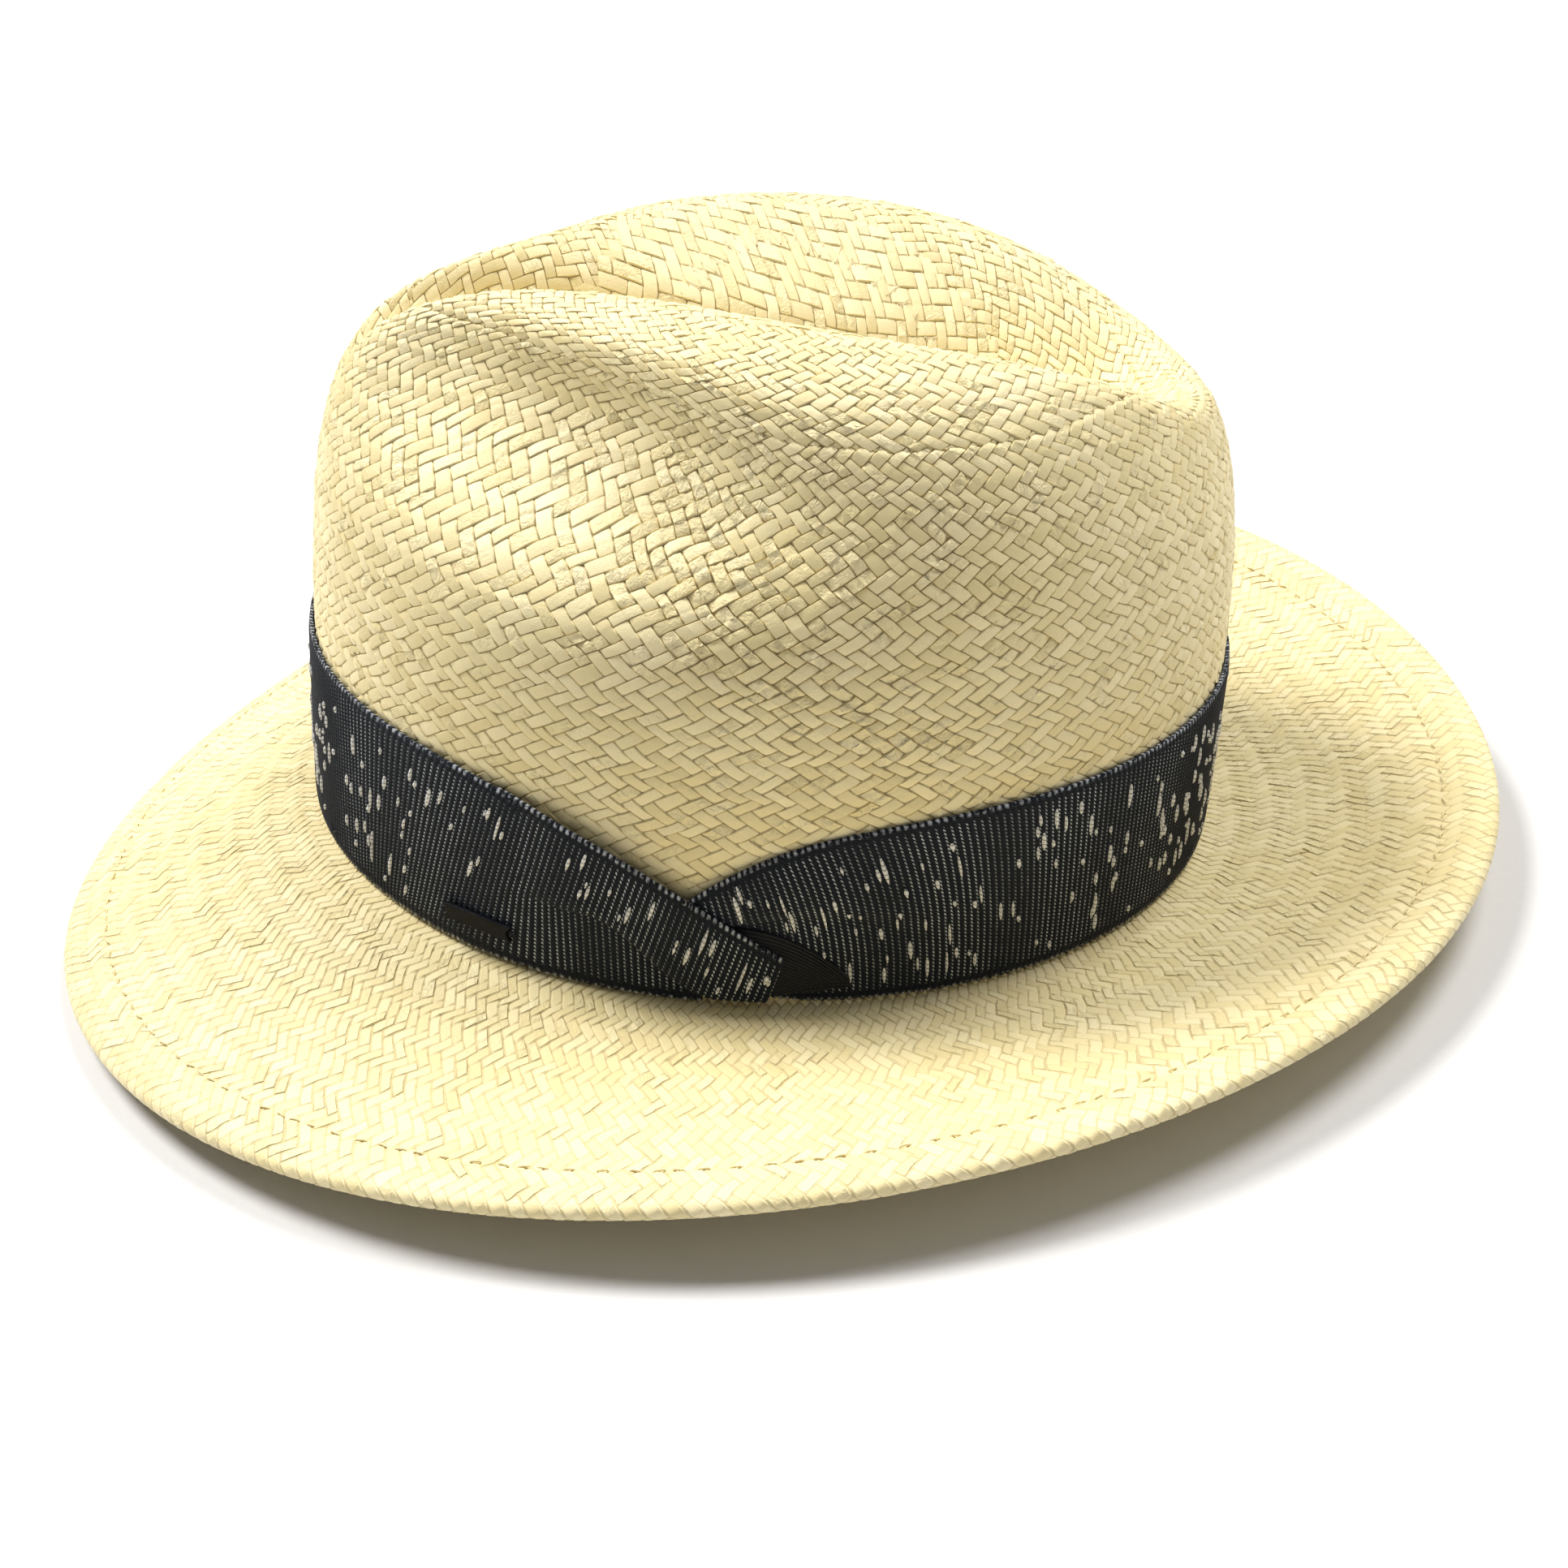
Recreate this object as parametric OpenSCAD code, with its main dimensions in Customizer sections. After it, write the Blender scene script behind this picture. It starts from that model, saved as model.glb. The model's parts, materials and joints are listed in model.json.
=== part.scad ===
// Fedora hat of woven straw: teardrop crown with two front pinches, snap brim,
// slub ribbon band with a gathered side knot, and a sweatband inside.
// Hat frame: -Y is the front, +X is the wearer's left, +Z is up, and the origin is the
// centre of the head opening at the crown break. stand() then leans the hat back onto
// the front brim edge and the back of the break, as it rests on a table.

/* [Crown] */
// Length of the crown at the break, front to back, outside
crown_len = 208; // [190:1:225]
// Width of the crown at the break, outside
crown_wid = 181; // [166:1:196]
// Height of the uncreased crown over the break
crown_h = 126; // [112:1:134]
// How much lower the crown's front and back ends are
crown_end_drop = 4; // [0:0.5:8]
// How much higher the back end is than the front end
crown_back_rise = 1; // [0:0.5:3]
// Inward taper of the wall for each 100 mm of height, as a share
crown_taper = 0.025; // [0:0.005:0.06]
// Squareness of the shoulder, all round
shoulder_exp = 4.7; // [4:0.1:5.5]
// Extra squareness at the front, taken off at the back
shoulder_front = 0.5; // [0:0.1:0.8]
// Extra squareness at both ends, taken off at the sides
shoulder_ends = 0.4; // [0:0.1:0.6]

/* [Crown dent] */
// Depth of the teardrop dent
dent_depth = 35; // [20:1:36]
// Half width of the dent at its widest
dent_half_w = 53; // [45:1:58]
// Distance from the centre to the dent's front point
dent_front = 102; // [94:1:104]
// Distance from the centre to the dent's back end
dent_back = 97; // [88:1:100]
// Length over which the dent closes at the back
dent_close = 28; // [20:1:45]

/* [Front pinches] */
// Depth of each pinch
pinch_depth = 27; // [10:1:28]
// Distance of each pinch's middle from the centre plane
pinch_x = 58; // [52:1:62]
// Distance of each pinch's middle in front of the centre
pinch_y = 58; // [50:1:66]
// Height of each pinch's middle over the break
pinch_z = 104.5; // [100:0.5:112]
// Length scale of a pinch along the crown
pinch_long = 50; // [40:1:56]
// Height scale of a pinch
pinch_high = 17.5; // [16:0.5:24]

/* [Brim] */
// Width of the brim from the break to its edge, along the straw
brim_w = 66.8; // [55:0.1:76]
// How far the front edge is down and the back edge up
brim_snap = 28.5; // [15:0.5:32]
// How much more the front and back ends both dip
brim_dip = 4.5; // [0:0.5:7]
// How much the wearer's left edge is up and the right edge down
brim_side_lift = 5.5; // [0:0.5:7]
// Twist of the brim edge between its quarters
brim_twist = 4; // [0:0.5:5]
// Third wave of the brim edge, front to back
brim_wave = 1.2; // [0:0.1:2]
// Thickness of the woven straw
straw_t = 1.2; // [1:0.1:1.5]
// Width of the turned-under hem
hem_w = 12; // [9:0.5:15]
// Diameter of the wire in the brim edge
wire_d = 0.9; // [0.6:0.1:1.2]

/* [Hatband] */
// Width of the slub ribbon
band_h = 43.5; // [38:0.5:48]
// Thickness of the slub ribbon
band_t = 0.9; // [0.6:0.1:1.1]
// Angle of the knot from the front, on the wearer's left
knot_a = 84; // [78:1:90]
// Length of the badge
badge_len = 17; // [14:0.5:20]
// Height of the badge
badge_h = 3.6; // [3:0.1:4.5]
// Thickness of the badge
badge_t = 0.9; // [0.7:0.1:1.2]

/* [Sweatband] */
// Height of the sweatband
sweat_h = 33; // [28:1:38]
// Thickness of the sweatband
sweat_t = 0.9; // [0.7:0.1:1.2]
// Width of the size label
label_w = 24; // [18:1:28]
// Length of the size label below its hem
label_len = 18; // [12:1:22]

/* [Stance] */
// How far the hat leans back when it stands on a table
lean_back = 6.9; // [5:0.1:8]
// How far it leans towards the wearer's left when it stands
lean_left = 3; // [0:0.1:4]

/* [Hidden] */

semi_x = crown_wid / 2;
semi_y = crown_len / 2;
sectors = 60;                     // facets round the straw
sector_a = 360 / sectors;
crown_rows = 24;
gap = 0.15;                       // air between the two layers of the hem
channel_r = wire_d / 2 + 0.12;    // hollow round the brim wire
roll_r = channel_r + straw_t;     // outside of the rolled brim edge
roll_back = 4;                    // where the hem has closed up behind the roll
band_gap = 0.35;                  // clearance between the crown and the ribbon
sweat_gap = 0.4;
sweat_face = straw_t + sweat_gap + sweat_t;
sweat_low = 0.7;                  // lower edge of the sweatband over the break
label_t = 0.4;
label_hem_r = 0.75;
thread_r = 0.25;
label_bore_r = 0.32;
reed_r = 0.8;
reed_clear = 0.1;

dent_point = 1.1;                 // how finely the dent is pointed at the front
fin_half = 19;                    // half width of the fin left between the pinches
pinch_tilt = 0.1;

// ---------- surfaces ----------

// Smooth step from 0 to 1
function ease(t) = let (c = max(0, min(1, t))) c * c * (3 - 2 * c);

// Height of the uncreased crown, where ends is -1 at the front and 1 at the back
function dome_h(ends) = crown_h + crown_back_rise * ends - crown_end_drop * ends * ends;

// Exponent of the crown's profile at angle a from the front
function shoulder(a) = shoulder_exp + shoulder_front * cos(a) + shoulder_ends * cos(2 * a);

// Half width of the dent at y
function dent_t(y) = max(0.0001, min(0.9999, (y + dent_front) / (dent_front + dent_back)));
function dent_raw(t) = pow(t, dent_point) * sqrt(1 - t);
function dent_half(y) = dent_half_w * dent_raw(dent_t(y)) / dent_raw(dent_point / (dent_point + 0.5));

// Depth of the dent at x and y
function dent(x, y) =
    let (w = dent_half(y), q = min(1, abs(x) / w))
    dent_depth * w / dent_half_w * pow(1 - q * q, 2) * ease((dent_back - y) / dent_close);

// Unit direction along the crown at the pinch's middle, towards the back
pinch_a = atan2(pinch_x / semi_x, pinch_y / semi_y);
pinch_dir = [semi_x * cos(pinch_a), semi_y * sin(pinch_a)]
    / norm([semi_x * cos(pinch_a), semi_y * sin(pinch_a)]);

// Moves a point of the crown into the pinch on its own side
function pinched(p) =
    let (side = p.x < 0 ? -1 : 1,
        d = [abs(p.x) - pinch_x, p.y + pinch_y, p.z - pinch_z],
        along = d.x * pinch_dir.x + d.y * pinch_dir.y,
        rise = d.z + pinch_tilt * along,
        near = 1 - exp(-pow(p.x / fin_half, 2)),
        push = pinch_depth * near * exp(-pow(along / pinch_long, 2) - pow(rise / pinch_high, 2)))
    [p.x - side * push * pinch_dir.y, p.y + push * pinch_dir.x, p.z];

// Point of the crown at angle a and profile angle f, 0 at the break and 90 at the top
function crown_pt(a, f) =
    let (e = 2 / shoulder(a), rho = pow(max(cos(f), 0), e), s = pow(max(sin(f), 0), e),
        z = dome_h(-cos(a) * rho) * s, k = rho * (1 - crown_taper * z / 100),
        x = semi_x * k * sin(a), y = -semi_y * k * cos(a))
    pinched([x, y, z - dent(x, y)]);

// Profile angle of row share t, spread evenly along the crown
function row_f(t) = 90 * pow(t, 2.2) / (pow(t, 2.2) + pow(1 - t, 2.2));

// Outward normal of the crown
function crown_n(a, f) =
    let (u = crown_pt(a + 1, f) - crown_pt(a - 1, f),
        v = crown_pt(a, min(f + 0.3, 89.99)) - crown_pt(a, max(f - 0.3, 0.01)),
        c = cross(u, v))
    c / norm(c);

// Point of the plain wall at angle a and height z, out beyond the straw
function wall_pt(a, z, out = 0) =
    let (m = shoulder(a), rho = pow(1 - pow(max(z, 0) / dome_h(-cos(a)), m), 1 / m),
        k = rho * (1 - crown_taper * z / 100), n = wall_n(a))
    [semi_x * k * sin(a) + out * n.x, -semi_y * k * cos(a) + out * n.y, z];

// Outward normal and tangent of the head oval
function wall_n(a) = [semi_y * sin(a), -semi_x * cos(a)]
    / norm([semi_y * sin(a), -semi_x * cos(a)]);
function wall_ang(a) = atan2(-semi_x * cos(a), semi_y * sin(a));

// Height of the brim edge over the break
function brim_z(a) = 0.7 - brim_snap * cos(a) - brim_dip * cos(2 * a) + brim_wave * cos(3 * a)
    + brim_side_lift * sin(a) + brim_twist * sin(2 * a);
function brim_run(a) = sqrt(brim_w * brim_w - brim_z(a) * brim_z(a));

// Point of the brim at angle a, d out from the break and h over the brim's top face
function brim_pt(a, d, h) =
    let (run = brim_run(a), t = max(d, 0) / run, bend = 1.3,
        z = brim_z(a) * pow(t, bend),
        slope = brim_z(a) / run * bend * pow(max(t, 0.02), bend - 1),
        s = norm([1, slope]), n = wall_n(a), out = d - h * slope / s)
    [semi_x * sin(a) + out * n.x, -semi_y * cos(a) + out * n.y, z + h / s];

// ---------- solids from rings and grids ----------

// Closed solid from rings of equal count between two end points, outermost facing out
module capped_rings(rings, first, last) {
    n = len(rings[0]);
    m = len(rings);
    pts = concat([for (r = rings) each r], [first, last]);
    faces = concat(
        [for (i = [0:n - 1]) [m * n, (i + 1) % n, i]],
        [for (j = [0:m - 2]) for (i = [0:n - 1])
            [j * n + i, j * n + (i + 1) % n, (j + 1) * n + (i + 1) % n]],
        [for (j = [0:m - 2]) for (i = [0:n - 1])
            [j * n + i, (j + 1) * n + (i + 1) % n, (j + 1) * n + i]],
        [for (i = [0:n - 1]) [m * n + 1, (m - 1) * n + i, (m - 1) * n + (i + 1) % n]]);
    polyhedron(pts, faces, convexity = 10);
}

// Closed ring solid from rings that join the last to the first
module ring_loop(rings) {
    n = len(rings[0]);
    m = len(rings);
    faces = [for (j = [0:m - 1]) for (i = [0:n - 1]) each [
        [j * n + i, j * n + (i + 1) % n, ((j + 1) % m) * n + (i + 1) % n],
        [j * n + i, ((j + 1) % m) * n + (i + 1) % n, ((j + 1) % m) * n + i]]];
    polyhedron([for (r = rings) each r], faces, convexity = 10);
}

// Closed strip from cross-sections of equal count, each a loop, capped at both ends
module strip(sections) {
    n = len(sections[0]);
    m = len(sections);
    faces = concat(
        [for (j = [0:m - 2]) for (i = [0:n - 1]) each [
            [j * n + i, j * n + (i + 1) % n, (j + 1) * n + (i + 1) % n],
            [j * n + i, (j + 1) * n + (i + 1) % n, (j + 1) * n + i]]],
        [for (i = [1:n - 2]) [0, i + 1, i]],
        [for (i = [1:n - 2]) [(m - 1) * n, (m - 1) * n + i, (m - 1) * n + i + 1]]);
    polyhedron([for (s = sections) each s], faces, convexity = 10);
}

// Thin round ring that follows the brim or the wall, centre given for each angle
module thread_ring(centres, r, sides) {
    ring_loop([for (k = [0:sides - 1])
        [for (i = [0:sectors - 1])
            let (n = wall_n(i * sector_a), q = -k * 360 / sides + 45, c = centres[i])
            [c.x + r * cos(q) * n.x, c.y + r * cos(q) * n.y, c.z + r * sin(q)]]]);
}

// Puts a flat shape on the wall: its x runs along the band, y up, z outwards
module on_wall(a, z, out) {
    translate(wall_pt(a, z, out))
        rotate([0, 0, wall_ang(a)])
            rotate([90, 0, 90])
                children();
}

// ---------- stance ----------

function turn_x(p, a) = [p.x, p.y * cos(a) - p.z * sin(a), p.y * sin(a) + p.z * cos(a)];
function turn_y(p, a) = [p.x * cos(a) + p.z * sin(a), p.y, p.z * cos(a) - p.x * sin(a)];
function posed(p) = turn_y(turn_x(p, -lean_back), lean_left);

// Lowest and outermost points of the rolled edge and of the underside
stance_pts = [for (i = [0:sectors - 1]) let (a = i * sector_a) each [
    for (q = [-90:30:90])
        posed(brim_pt(a, brim_run(a) - roll_r + roll_r * cos(q), -roll_r + roll_r * sin(q))),
    posed(brim_pt(a, 0, -straw_t))]];
function span_mid(v) = (min(v) + max(v)) / 2;
stance_shift = [-span_mid([for (p = stance_pts) p.x]), -span_mid([for (p = stance_pts) p.y]),
    -min([for (p = stance_pts) p.z])];

module stand() {
    translate(stance_shift)
        rotate([-lean_back, lean_left, 0])
            children();
}

// ---------- straw ----------

// Distances out from the break of the brim's rows
brim_rows = [0, 3, 8, 16, 25, 34, 43, 51];

function ring(d, h) = [for (i = [0:sectors - 1]) brim_pt(i * sector_a, d, h)];
function edge_ring(back, h) = [for (i = [0:sectors - 1])
    let (a = i * sector_a) brim_pt(a, brim_run(a) - back, h)];
function roll_ring(r, q) = edge_ring(roll_r - r * cos(q), -roll_r + r * sin(q));

module straw_body() {
    outer_crown = [for (j = [crown_rows - 1:-1:1])
        [for (i = [0:sectors - 1]) crown_pt(i * sector_a, row_f(j / crown_rows))]];
    inner_crown = [for (j = [1:crown_rows - 1])
        [for (i = [0:sectors - 1])
            let (a = i * sector_a, f = row_f(j / crown_rows))
            crown_pt(a, f) - straw_t * crown_n(a, f)]];
    hem_top = -straw_t - gap;
    hem_bottom = -2 * straw_t - gap;
    color([0.93, 0.88, 0.69])
        stand()
            capped_rings(concat(
                outer_crown,
                [for (d = brim_rows) ring(d, 0)],
                [edge_ring(hem_w, 0), edge_ring(roll_back, 0)],
                [for (q = [90:-45:-90]) roll_ring(roll_r, q)],
                [edge_ring(roll_back, hem_bottom), edge_ring(hem_w, hem_bottom)],
                [edge_ring(hem_w, hem_top), edge_ring(roll_back, hem_top)],
                [for (q = [-120:60:120]) roll_ring(channel_r, q)],
                [edge_ring(roll_back, -straw_t), edge_ring(hem_w + 1, -straw_t)],
                [for (k = [len(brim_rows) - 1:-1:1]) ring(brim_rows[k], -straw_t)],
                [ring(-straw_t, -straw_t)],
                inner_crown),
                crown_pt(0, 90), crown_pt(0, 90) - [0, 0, straw_t]);
}

module brim_wire() {
    color([0.75, 0.76, 0.78])
        stand()
            ring_loop([for (q = [300:-60:0]) roll_ring(wire_d / 2, q)]);
}

module hem_stitching() {
    color([0.86, 0.80, 0.60])
        stand()
            thread_ring([for (i = [0:sectors - 1])
                let (a = i * sector_a) brim_pt(a, brim_run(a) - hem_w + 1.5, 0.45)], 0.3, 4);
}

// ---------- inside ----------

module sweatband() {
    rows = [[sweat_low, -straw_t - sweat_gap], [sweat_h * 0.5, -straw_t - sweat_gap],
        [sweat_h, -straw_t - sweat_gap], [sweat_h, -sweat_face],
        [sweat_h * 0.5, -sweat_face], [sweat_low, -sweat_face]];
    color([0.10, 0.11, 0.16])
        stand()
            ring_loop([for (k = [len(rows) - 1:-1:0])
                [for (i = [0:sectors - 1]) wall_pt(i * sector_a, rows[k][0], rows[k][1])]]);
}

module sweatband_reed() {
    color([0.12, 0.12, 0.14])
        stand()
            thread_ring([for (i = [0:sectors - 1])
                wall_pt(i * sector_a, sweat_low - reed_r - reed_clear,
                    -straw_t - sweat_gap - reed_r)],
                reed_r, 6);
}

module sweatband_stitching() {
    color([0.16, 0.17, 0.22])
        stand()
            thread_ring([for (i = [0:sectors - 1])
                wall_pt(i * sector_a, 3, -sweat_face - 0.5)], 0.25, 4);
}

module sweatband_seam_tape() {
    tape_w = 9;
    color([0.14, 0.15, 0.20])
        stand()
            on_wall(168, sweat_h / 2 + 2.5, -sweat_face - 1.3)
                translate([-tape_w / 2, -sweat_h / 2 + 3, 0])
                    cube([tape_w, sweat_h - 7, 0.5]);
}

// Middle line of the label's thread, just in front of the sweatband at the back
label_y = semi_y * (1 - crown_taper * sweat_h / 100) - sweat_face - 2.2;
label_z = sweat_h - 3;

module label_thread() {
    color([0.90, 0.90, 0.88])
        stand()
            translate([-label_w / 2 - 1.2, label_y, label_z])
                rotate([0, 90, 0])
                    cylinder(h = label_w + 2.4, r = thread_r, $fn = 24);
}

module size_label() {
    color([0.92, 0.92, 0.90])
        stand()
            difference() {
                translate([-label_w / 2, label_y, label_z])
                    union() {
                        rotate([0, 90, 0])
                            cylinder(h = label_w, r = label_hem_r, $fn = 32);
                        translate([0, -label_t / 2, -label_len])
                            cube([label_w, label_t, label_len]);
                    }
                translate([-label_w / 2 - 1, label_y, label_z])
                    rotate([0, 90, 0])
                        cylinder(h = label_w + 2, r = label_bore_r, $fn = 32);
            }
}

// ---------- hatband ----------

function blend(x, a, b) = ease((x - a) / (b - a));

// Top edge of the ribbon: full height round the hat, gathered down into the knot at both ends.
// The front end comes to the knot at angles over 360.
function ribbon_top(a) = a > 360
    ? band_h - 8.5 * ln(1 + exp((a - 360 - knot_a + 23) / 8))
    : band_h - 17 * exp((knot_a - 7.4 - a) / 11.3);
function ribbon_low(a) = a > 360 ? 1 : 1 + 5 * (1 - blend(a, knot_a - 14, knot_a + 8));
function ribbon_out(a) = band_gap + (band_t + 0.4) * blend(a - 360, knot_a - 50, knot_a - 22);

module hatband_ribbon() {
    first = knot_a - 10;
    last = 360 + knot_a - 7;
    steps = 90;
    color([0.07, 0.08, 0.12])
        stand()
            strip([for (k = [0:steps])
                let (a = first + (last - first) * k / steps, o = ribbon_out(a),
                    lo = ribbon_low(a), hi = ribbon_top(a), mid = (lo + hi) / 2)
                [wall_pt(a, lo, o), wall_pt(a, mid, o), wall_pt(a, hi, o),
                    wall_pt(a, hi, o + band_t), wall_pt(a, mid, o + band_t),
                    wall_pt(a, lo, o + band_t)]]);
}

// Fold that crosses down over the ribbon from the front and goes into the wrap
function fold_top(a) = ribbon_top(a + 360) - 0.5;
function fold_low(a) = 2.2 + 16 * (1 - blend(a, knot_a - 22, knot_a - 4));

module hatband_front_fold() {
    first = knot_a - 34;
    last = knot_a + 1.5;
    steps = 14;
    out = band_gap + 2 * band_t + 0.7;
    color([0.08, 0.09, 0.13])
        stand()
            strip([for (k = [0:steps])
                let (a = first + (last - first) * k / steps, lean = 1.6 * k / steps,
                    lo = fold_low(a), hi = fold_top(a), mid = (lo + hi) / 2)
                [wall_pt(a - lean, lo, out), wall_pt(a, mid, out), wall_pt(a + lean, hi, out),
                    wall_pt(a + lean, hi, out + band_t), wall_pt(a, mid, out + band_t),
                    wall_pt(a - lean, lo, out + band_t)]]);
}

// Grosgrain wrap that pulls the ribbon's two ends together under the fold
module hatband_wrap() {
    first = knot_a - 2.5;
    last = knot_a + 10.5;
    steps = 6;
    out = band_gap + band_t + 0.15;
    color([0.04, 0.04, 0.06])
        stand()
            strip([for (k = [0:steps])
                let (a = first + (last - first) * k / steps, t = k / steps,
                    lo = 1.4 + 3 * t, hi = 18.5 - 12.5 * t * t, mid = (lo + hi) / 2)
                [wall_pt(a, lo, out), wall_pt(a, mid, out), wall_pt(a, hi, out),
                    wall_pt(a, hi, out + 0.45), wall_pt(a, mid, out + 0.45),
                    wall_pt(a, lo, out + 0.45)]]);
}

// Thread tacks that hold the ribbon's lower edge to the crown
module hatband_tacks() {
    color([0.05, 0.05, 0.07])
        stand()
            for (a = [20, 150, 180, 210, 270, 330])
                on_wall(a, 4, band_gap + band_t + 0.1)
                    translate([-1.5, -0.2, 0])
                        cube([3, 0.4, 0.3]);
}

badge_a = 51;
badge_z = 8.3;
badge_out = ribbon_out(360 + badge_a) + band_t + 0.25;

module badge() {
    cut_r = badge_h * 0.42;
    color([0.06, 0.06, 0.08])
        stand()
            on_wall(badge_a, badge_z, badge_out)
                linear_extrude(badge_t)
                    difference() {
                        square([badge_len, badge_h], center = true);
                        for (s = [-1, 1])
                            translate([s * (badge_len / 2 + cut_r * 0.35), 0])
                                circle(r = cut_r, $fn = 32);
                    }
}

// Thread through the crescents at the badge's ends
module badge_stitches() {
    color([0.03, 0.03, 0.04])
        stand()
            on_wall(badge_a, badge_z, badge_out)
                for (s = [-1, 1])
                    for (v = [-0.35, 0.35])
                        translate([s * (badge_len / 2 + 0.5), v, 0.25])
                            rotate([0, 90, 0])
                                cylinder(h = 1.1, r = 0.2, center = true, $fn = 16);
}

straw_body();
brim_wire();
hem_stitching();
sweatband();
sweatband_reed();
sweatband_stitching();
sweatband_seam_tape();
label_thread();
size_label();
hatband_ribbon();
hatband_front_fold();
hatband_wrap();
hatband_tacks();
badge();
badge_stitches();
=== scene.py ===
# Straw fedora: woven crown and brim, slub ribbon band with its knot, badge, sweatband and size label.
# Shapes are worked out in the hat's own frame, in millimetres: -Y is the front, +X the wearer's left,
# +Z up, and the origin is the centre of the head opening. POSE then stands the hat on the table.
import json
import math

import bpy
import numpy as np
from mathutils import Matrix, Vector

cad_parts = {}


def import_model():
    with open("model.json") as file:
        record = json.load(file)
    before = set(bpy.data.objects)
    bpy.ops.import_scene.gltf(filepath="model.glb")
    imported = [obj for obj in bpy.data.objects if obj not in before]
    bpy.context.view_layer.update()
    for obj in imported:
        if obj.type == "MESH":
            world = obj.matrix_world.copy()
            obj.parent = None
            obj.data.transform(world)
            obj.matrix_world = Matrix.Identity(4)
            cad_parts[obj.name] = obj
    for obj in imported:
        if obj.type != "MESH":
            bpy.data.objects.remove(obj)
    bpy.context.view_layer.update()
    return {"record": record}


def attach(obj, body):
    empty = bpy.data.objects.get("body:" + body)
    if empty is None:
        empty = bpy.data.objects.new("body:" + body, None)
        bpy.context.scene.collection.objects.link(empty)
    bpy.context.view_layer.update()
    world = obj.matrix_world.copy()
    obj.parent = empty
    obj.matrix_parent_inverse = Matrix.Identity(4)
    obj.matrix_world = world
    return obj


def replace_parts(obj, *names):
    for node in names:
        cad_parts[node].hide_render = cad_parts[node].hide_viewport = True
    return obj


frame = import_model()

# ---------- driving sizes, as in the CAD source, in millimetres ----------

CROWN_LEN, CROWN_WID, CROWN_H = 208.0, 181.0, 126.0
END_DROP, BACK_RISE, TAPER = 4.0, 1.0, 0.025
SHOULDER, SHOULDER_FRONT, SHOULDER_ENDS = 4.7, 0.5, 0.4
DENT_DEPTH, DENT_HALF, DENT_FRONT, DENT_BACK, DENT_CLOSE, DENT_POINT = 35.0, 53.0, 102.0, 97.0, 28.0, 1.1
PINCH_DEPTH, PINCH_X, PINCH_Y, PINCH_Z, PINCH_LONG, PINCH_HIGH = 27.0, 58.0, 58.0, 104.5, 50.0, 17.5
FIN_HALF, PINCH_TILT = 19.0, 0.1
BRIM_W, SNAP, DIP, SIDE_LIFT, TWIST, WAVE, BEND = 66.8, 28.5, 4.5, 5.5, 4.0, 1.2, 1.3
STRAW_T, HEM_W, WIRE_D = 1.2, 12.0, 0.9
BAND_H, BAND_T, BAND_GAP, KNOT = 43.5, 0.9, 0.35, 84.0
BADGE_A, BADGE_Z, BADGE_LEN, BADGE_H, BADGE_T = 51.0, 8.3, 17.0, 3.6, 0.9
SWEAT_FACE = 2.5
LABEL_W, LABEL_LEN, LABEL_Y, LABEL_Z = 24.0, 18.0, 98.442, 30.0
LEAN_BACK, LEAN_LEFT = math.radians(6.9), math.radians(3.0)

SEMI_X, SEMI_Y = CROWN_WID / 2, CROWN_LEN / 2
ROLL_R = WIRE_D / 2 + 0.12 + STRAW_T
ROW_PULL = 2.2  # how much closer rows lie at the break and at the top
RADIUS = 97.0  # of the crown at the band, on average
FULL = 2 * math.pi

ORIGIN = Vector(frame["record"]["mounts"][0]["pos_m"])
TURN = Matrix.Rotation(LEAN_LEFT, 4, "Y") @ Matrix.Rotation(-LEAN_BACK, 4, "X")
POSE = Matrix.Translation(ORIGIN) @ TURN @ Matrix.Scale(0.001, 4)


def world(points):
    """Points of the hat's frame, in metres and as the hat stands."""
    m = np.array(POSE)
    return points @ m[:3, :3].T + m[:3, 3]


# ---------- surfaces of the hat ----------

def ease(t):
    """Smooth step from 0 to 1."""
    t = np.clip(t, 0, 1)
    return t * t * (3 - 2 * t)


def blend(x, a, b):
    """Smooth step from 0 at a to 1 at b."""
    return ease((x - a) / (b - a))


def unit(v):
    """Vectors at length 1."""
    return v / np.maximum(np.linalg.norm(v, axis=-1, keepdims=True), 1e-9)


def run_length(points):
    """Distance along a line of points to each of them."""
    return np.concatenate([[0], np.cumsum(np.linalg.norm(np.diff(points, axis=0), axis=1))])


def dome_h(ends):
    """Height of the uncreased crown, from -1 at the front to 1 at the back."""
    return CROWN_H + BACK_RISE * ends - END_DROP * ends**2


def shoulder(a):
    """Power of the crown's profile: the higher, the squarer its shoulder."""
    return SHOULDER + SHOULDER_FRONT * np.cos(a) + SHOULDER_ENDS * np.cos(2 * a)


def dent(x, y):
    """Depth of the teardrop dent."""
    def raw(t):
        return t**DENT_POINT * np.sqrt(1 - t)

    t = np.clip((y + DENT_FRONT) / (DENT_FRONT + DENT_BACK), 1e-4, 0.9999)
    half = DENT_HALF * raw(t) / raw(DENT_POINT / (DENT_POINT + 0.5))
    q = np.minimum(1, np.abs(x) / half)
    return DENT_DEPTH * half / DENT_HALF * (1 - q * q) ** 2 * ease((DENT_BACK - y) / DENT_CLOSE)


pinch_a = math.atan2(PINCH_X / SEMI_X, PINCH_Y / SEMI_Y)
pinch_dir = unit(np.array([SEMI_X * math.cos(pinch_a), SEMI_Y * math.sin(pinch_a)]))


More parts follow.
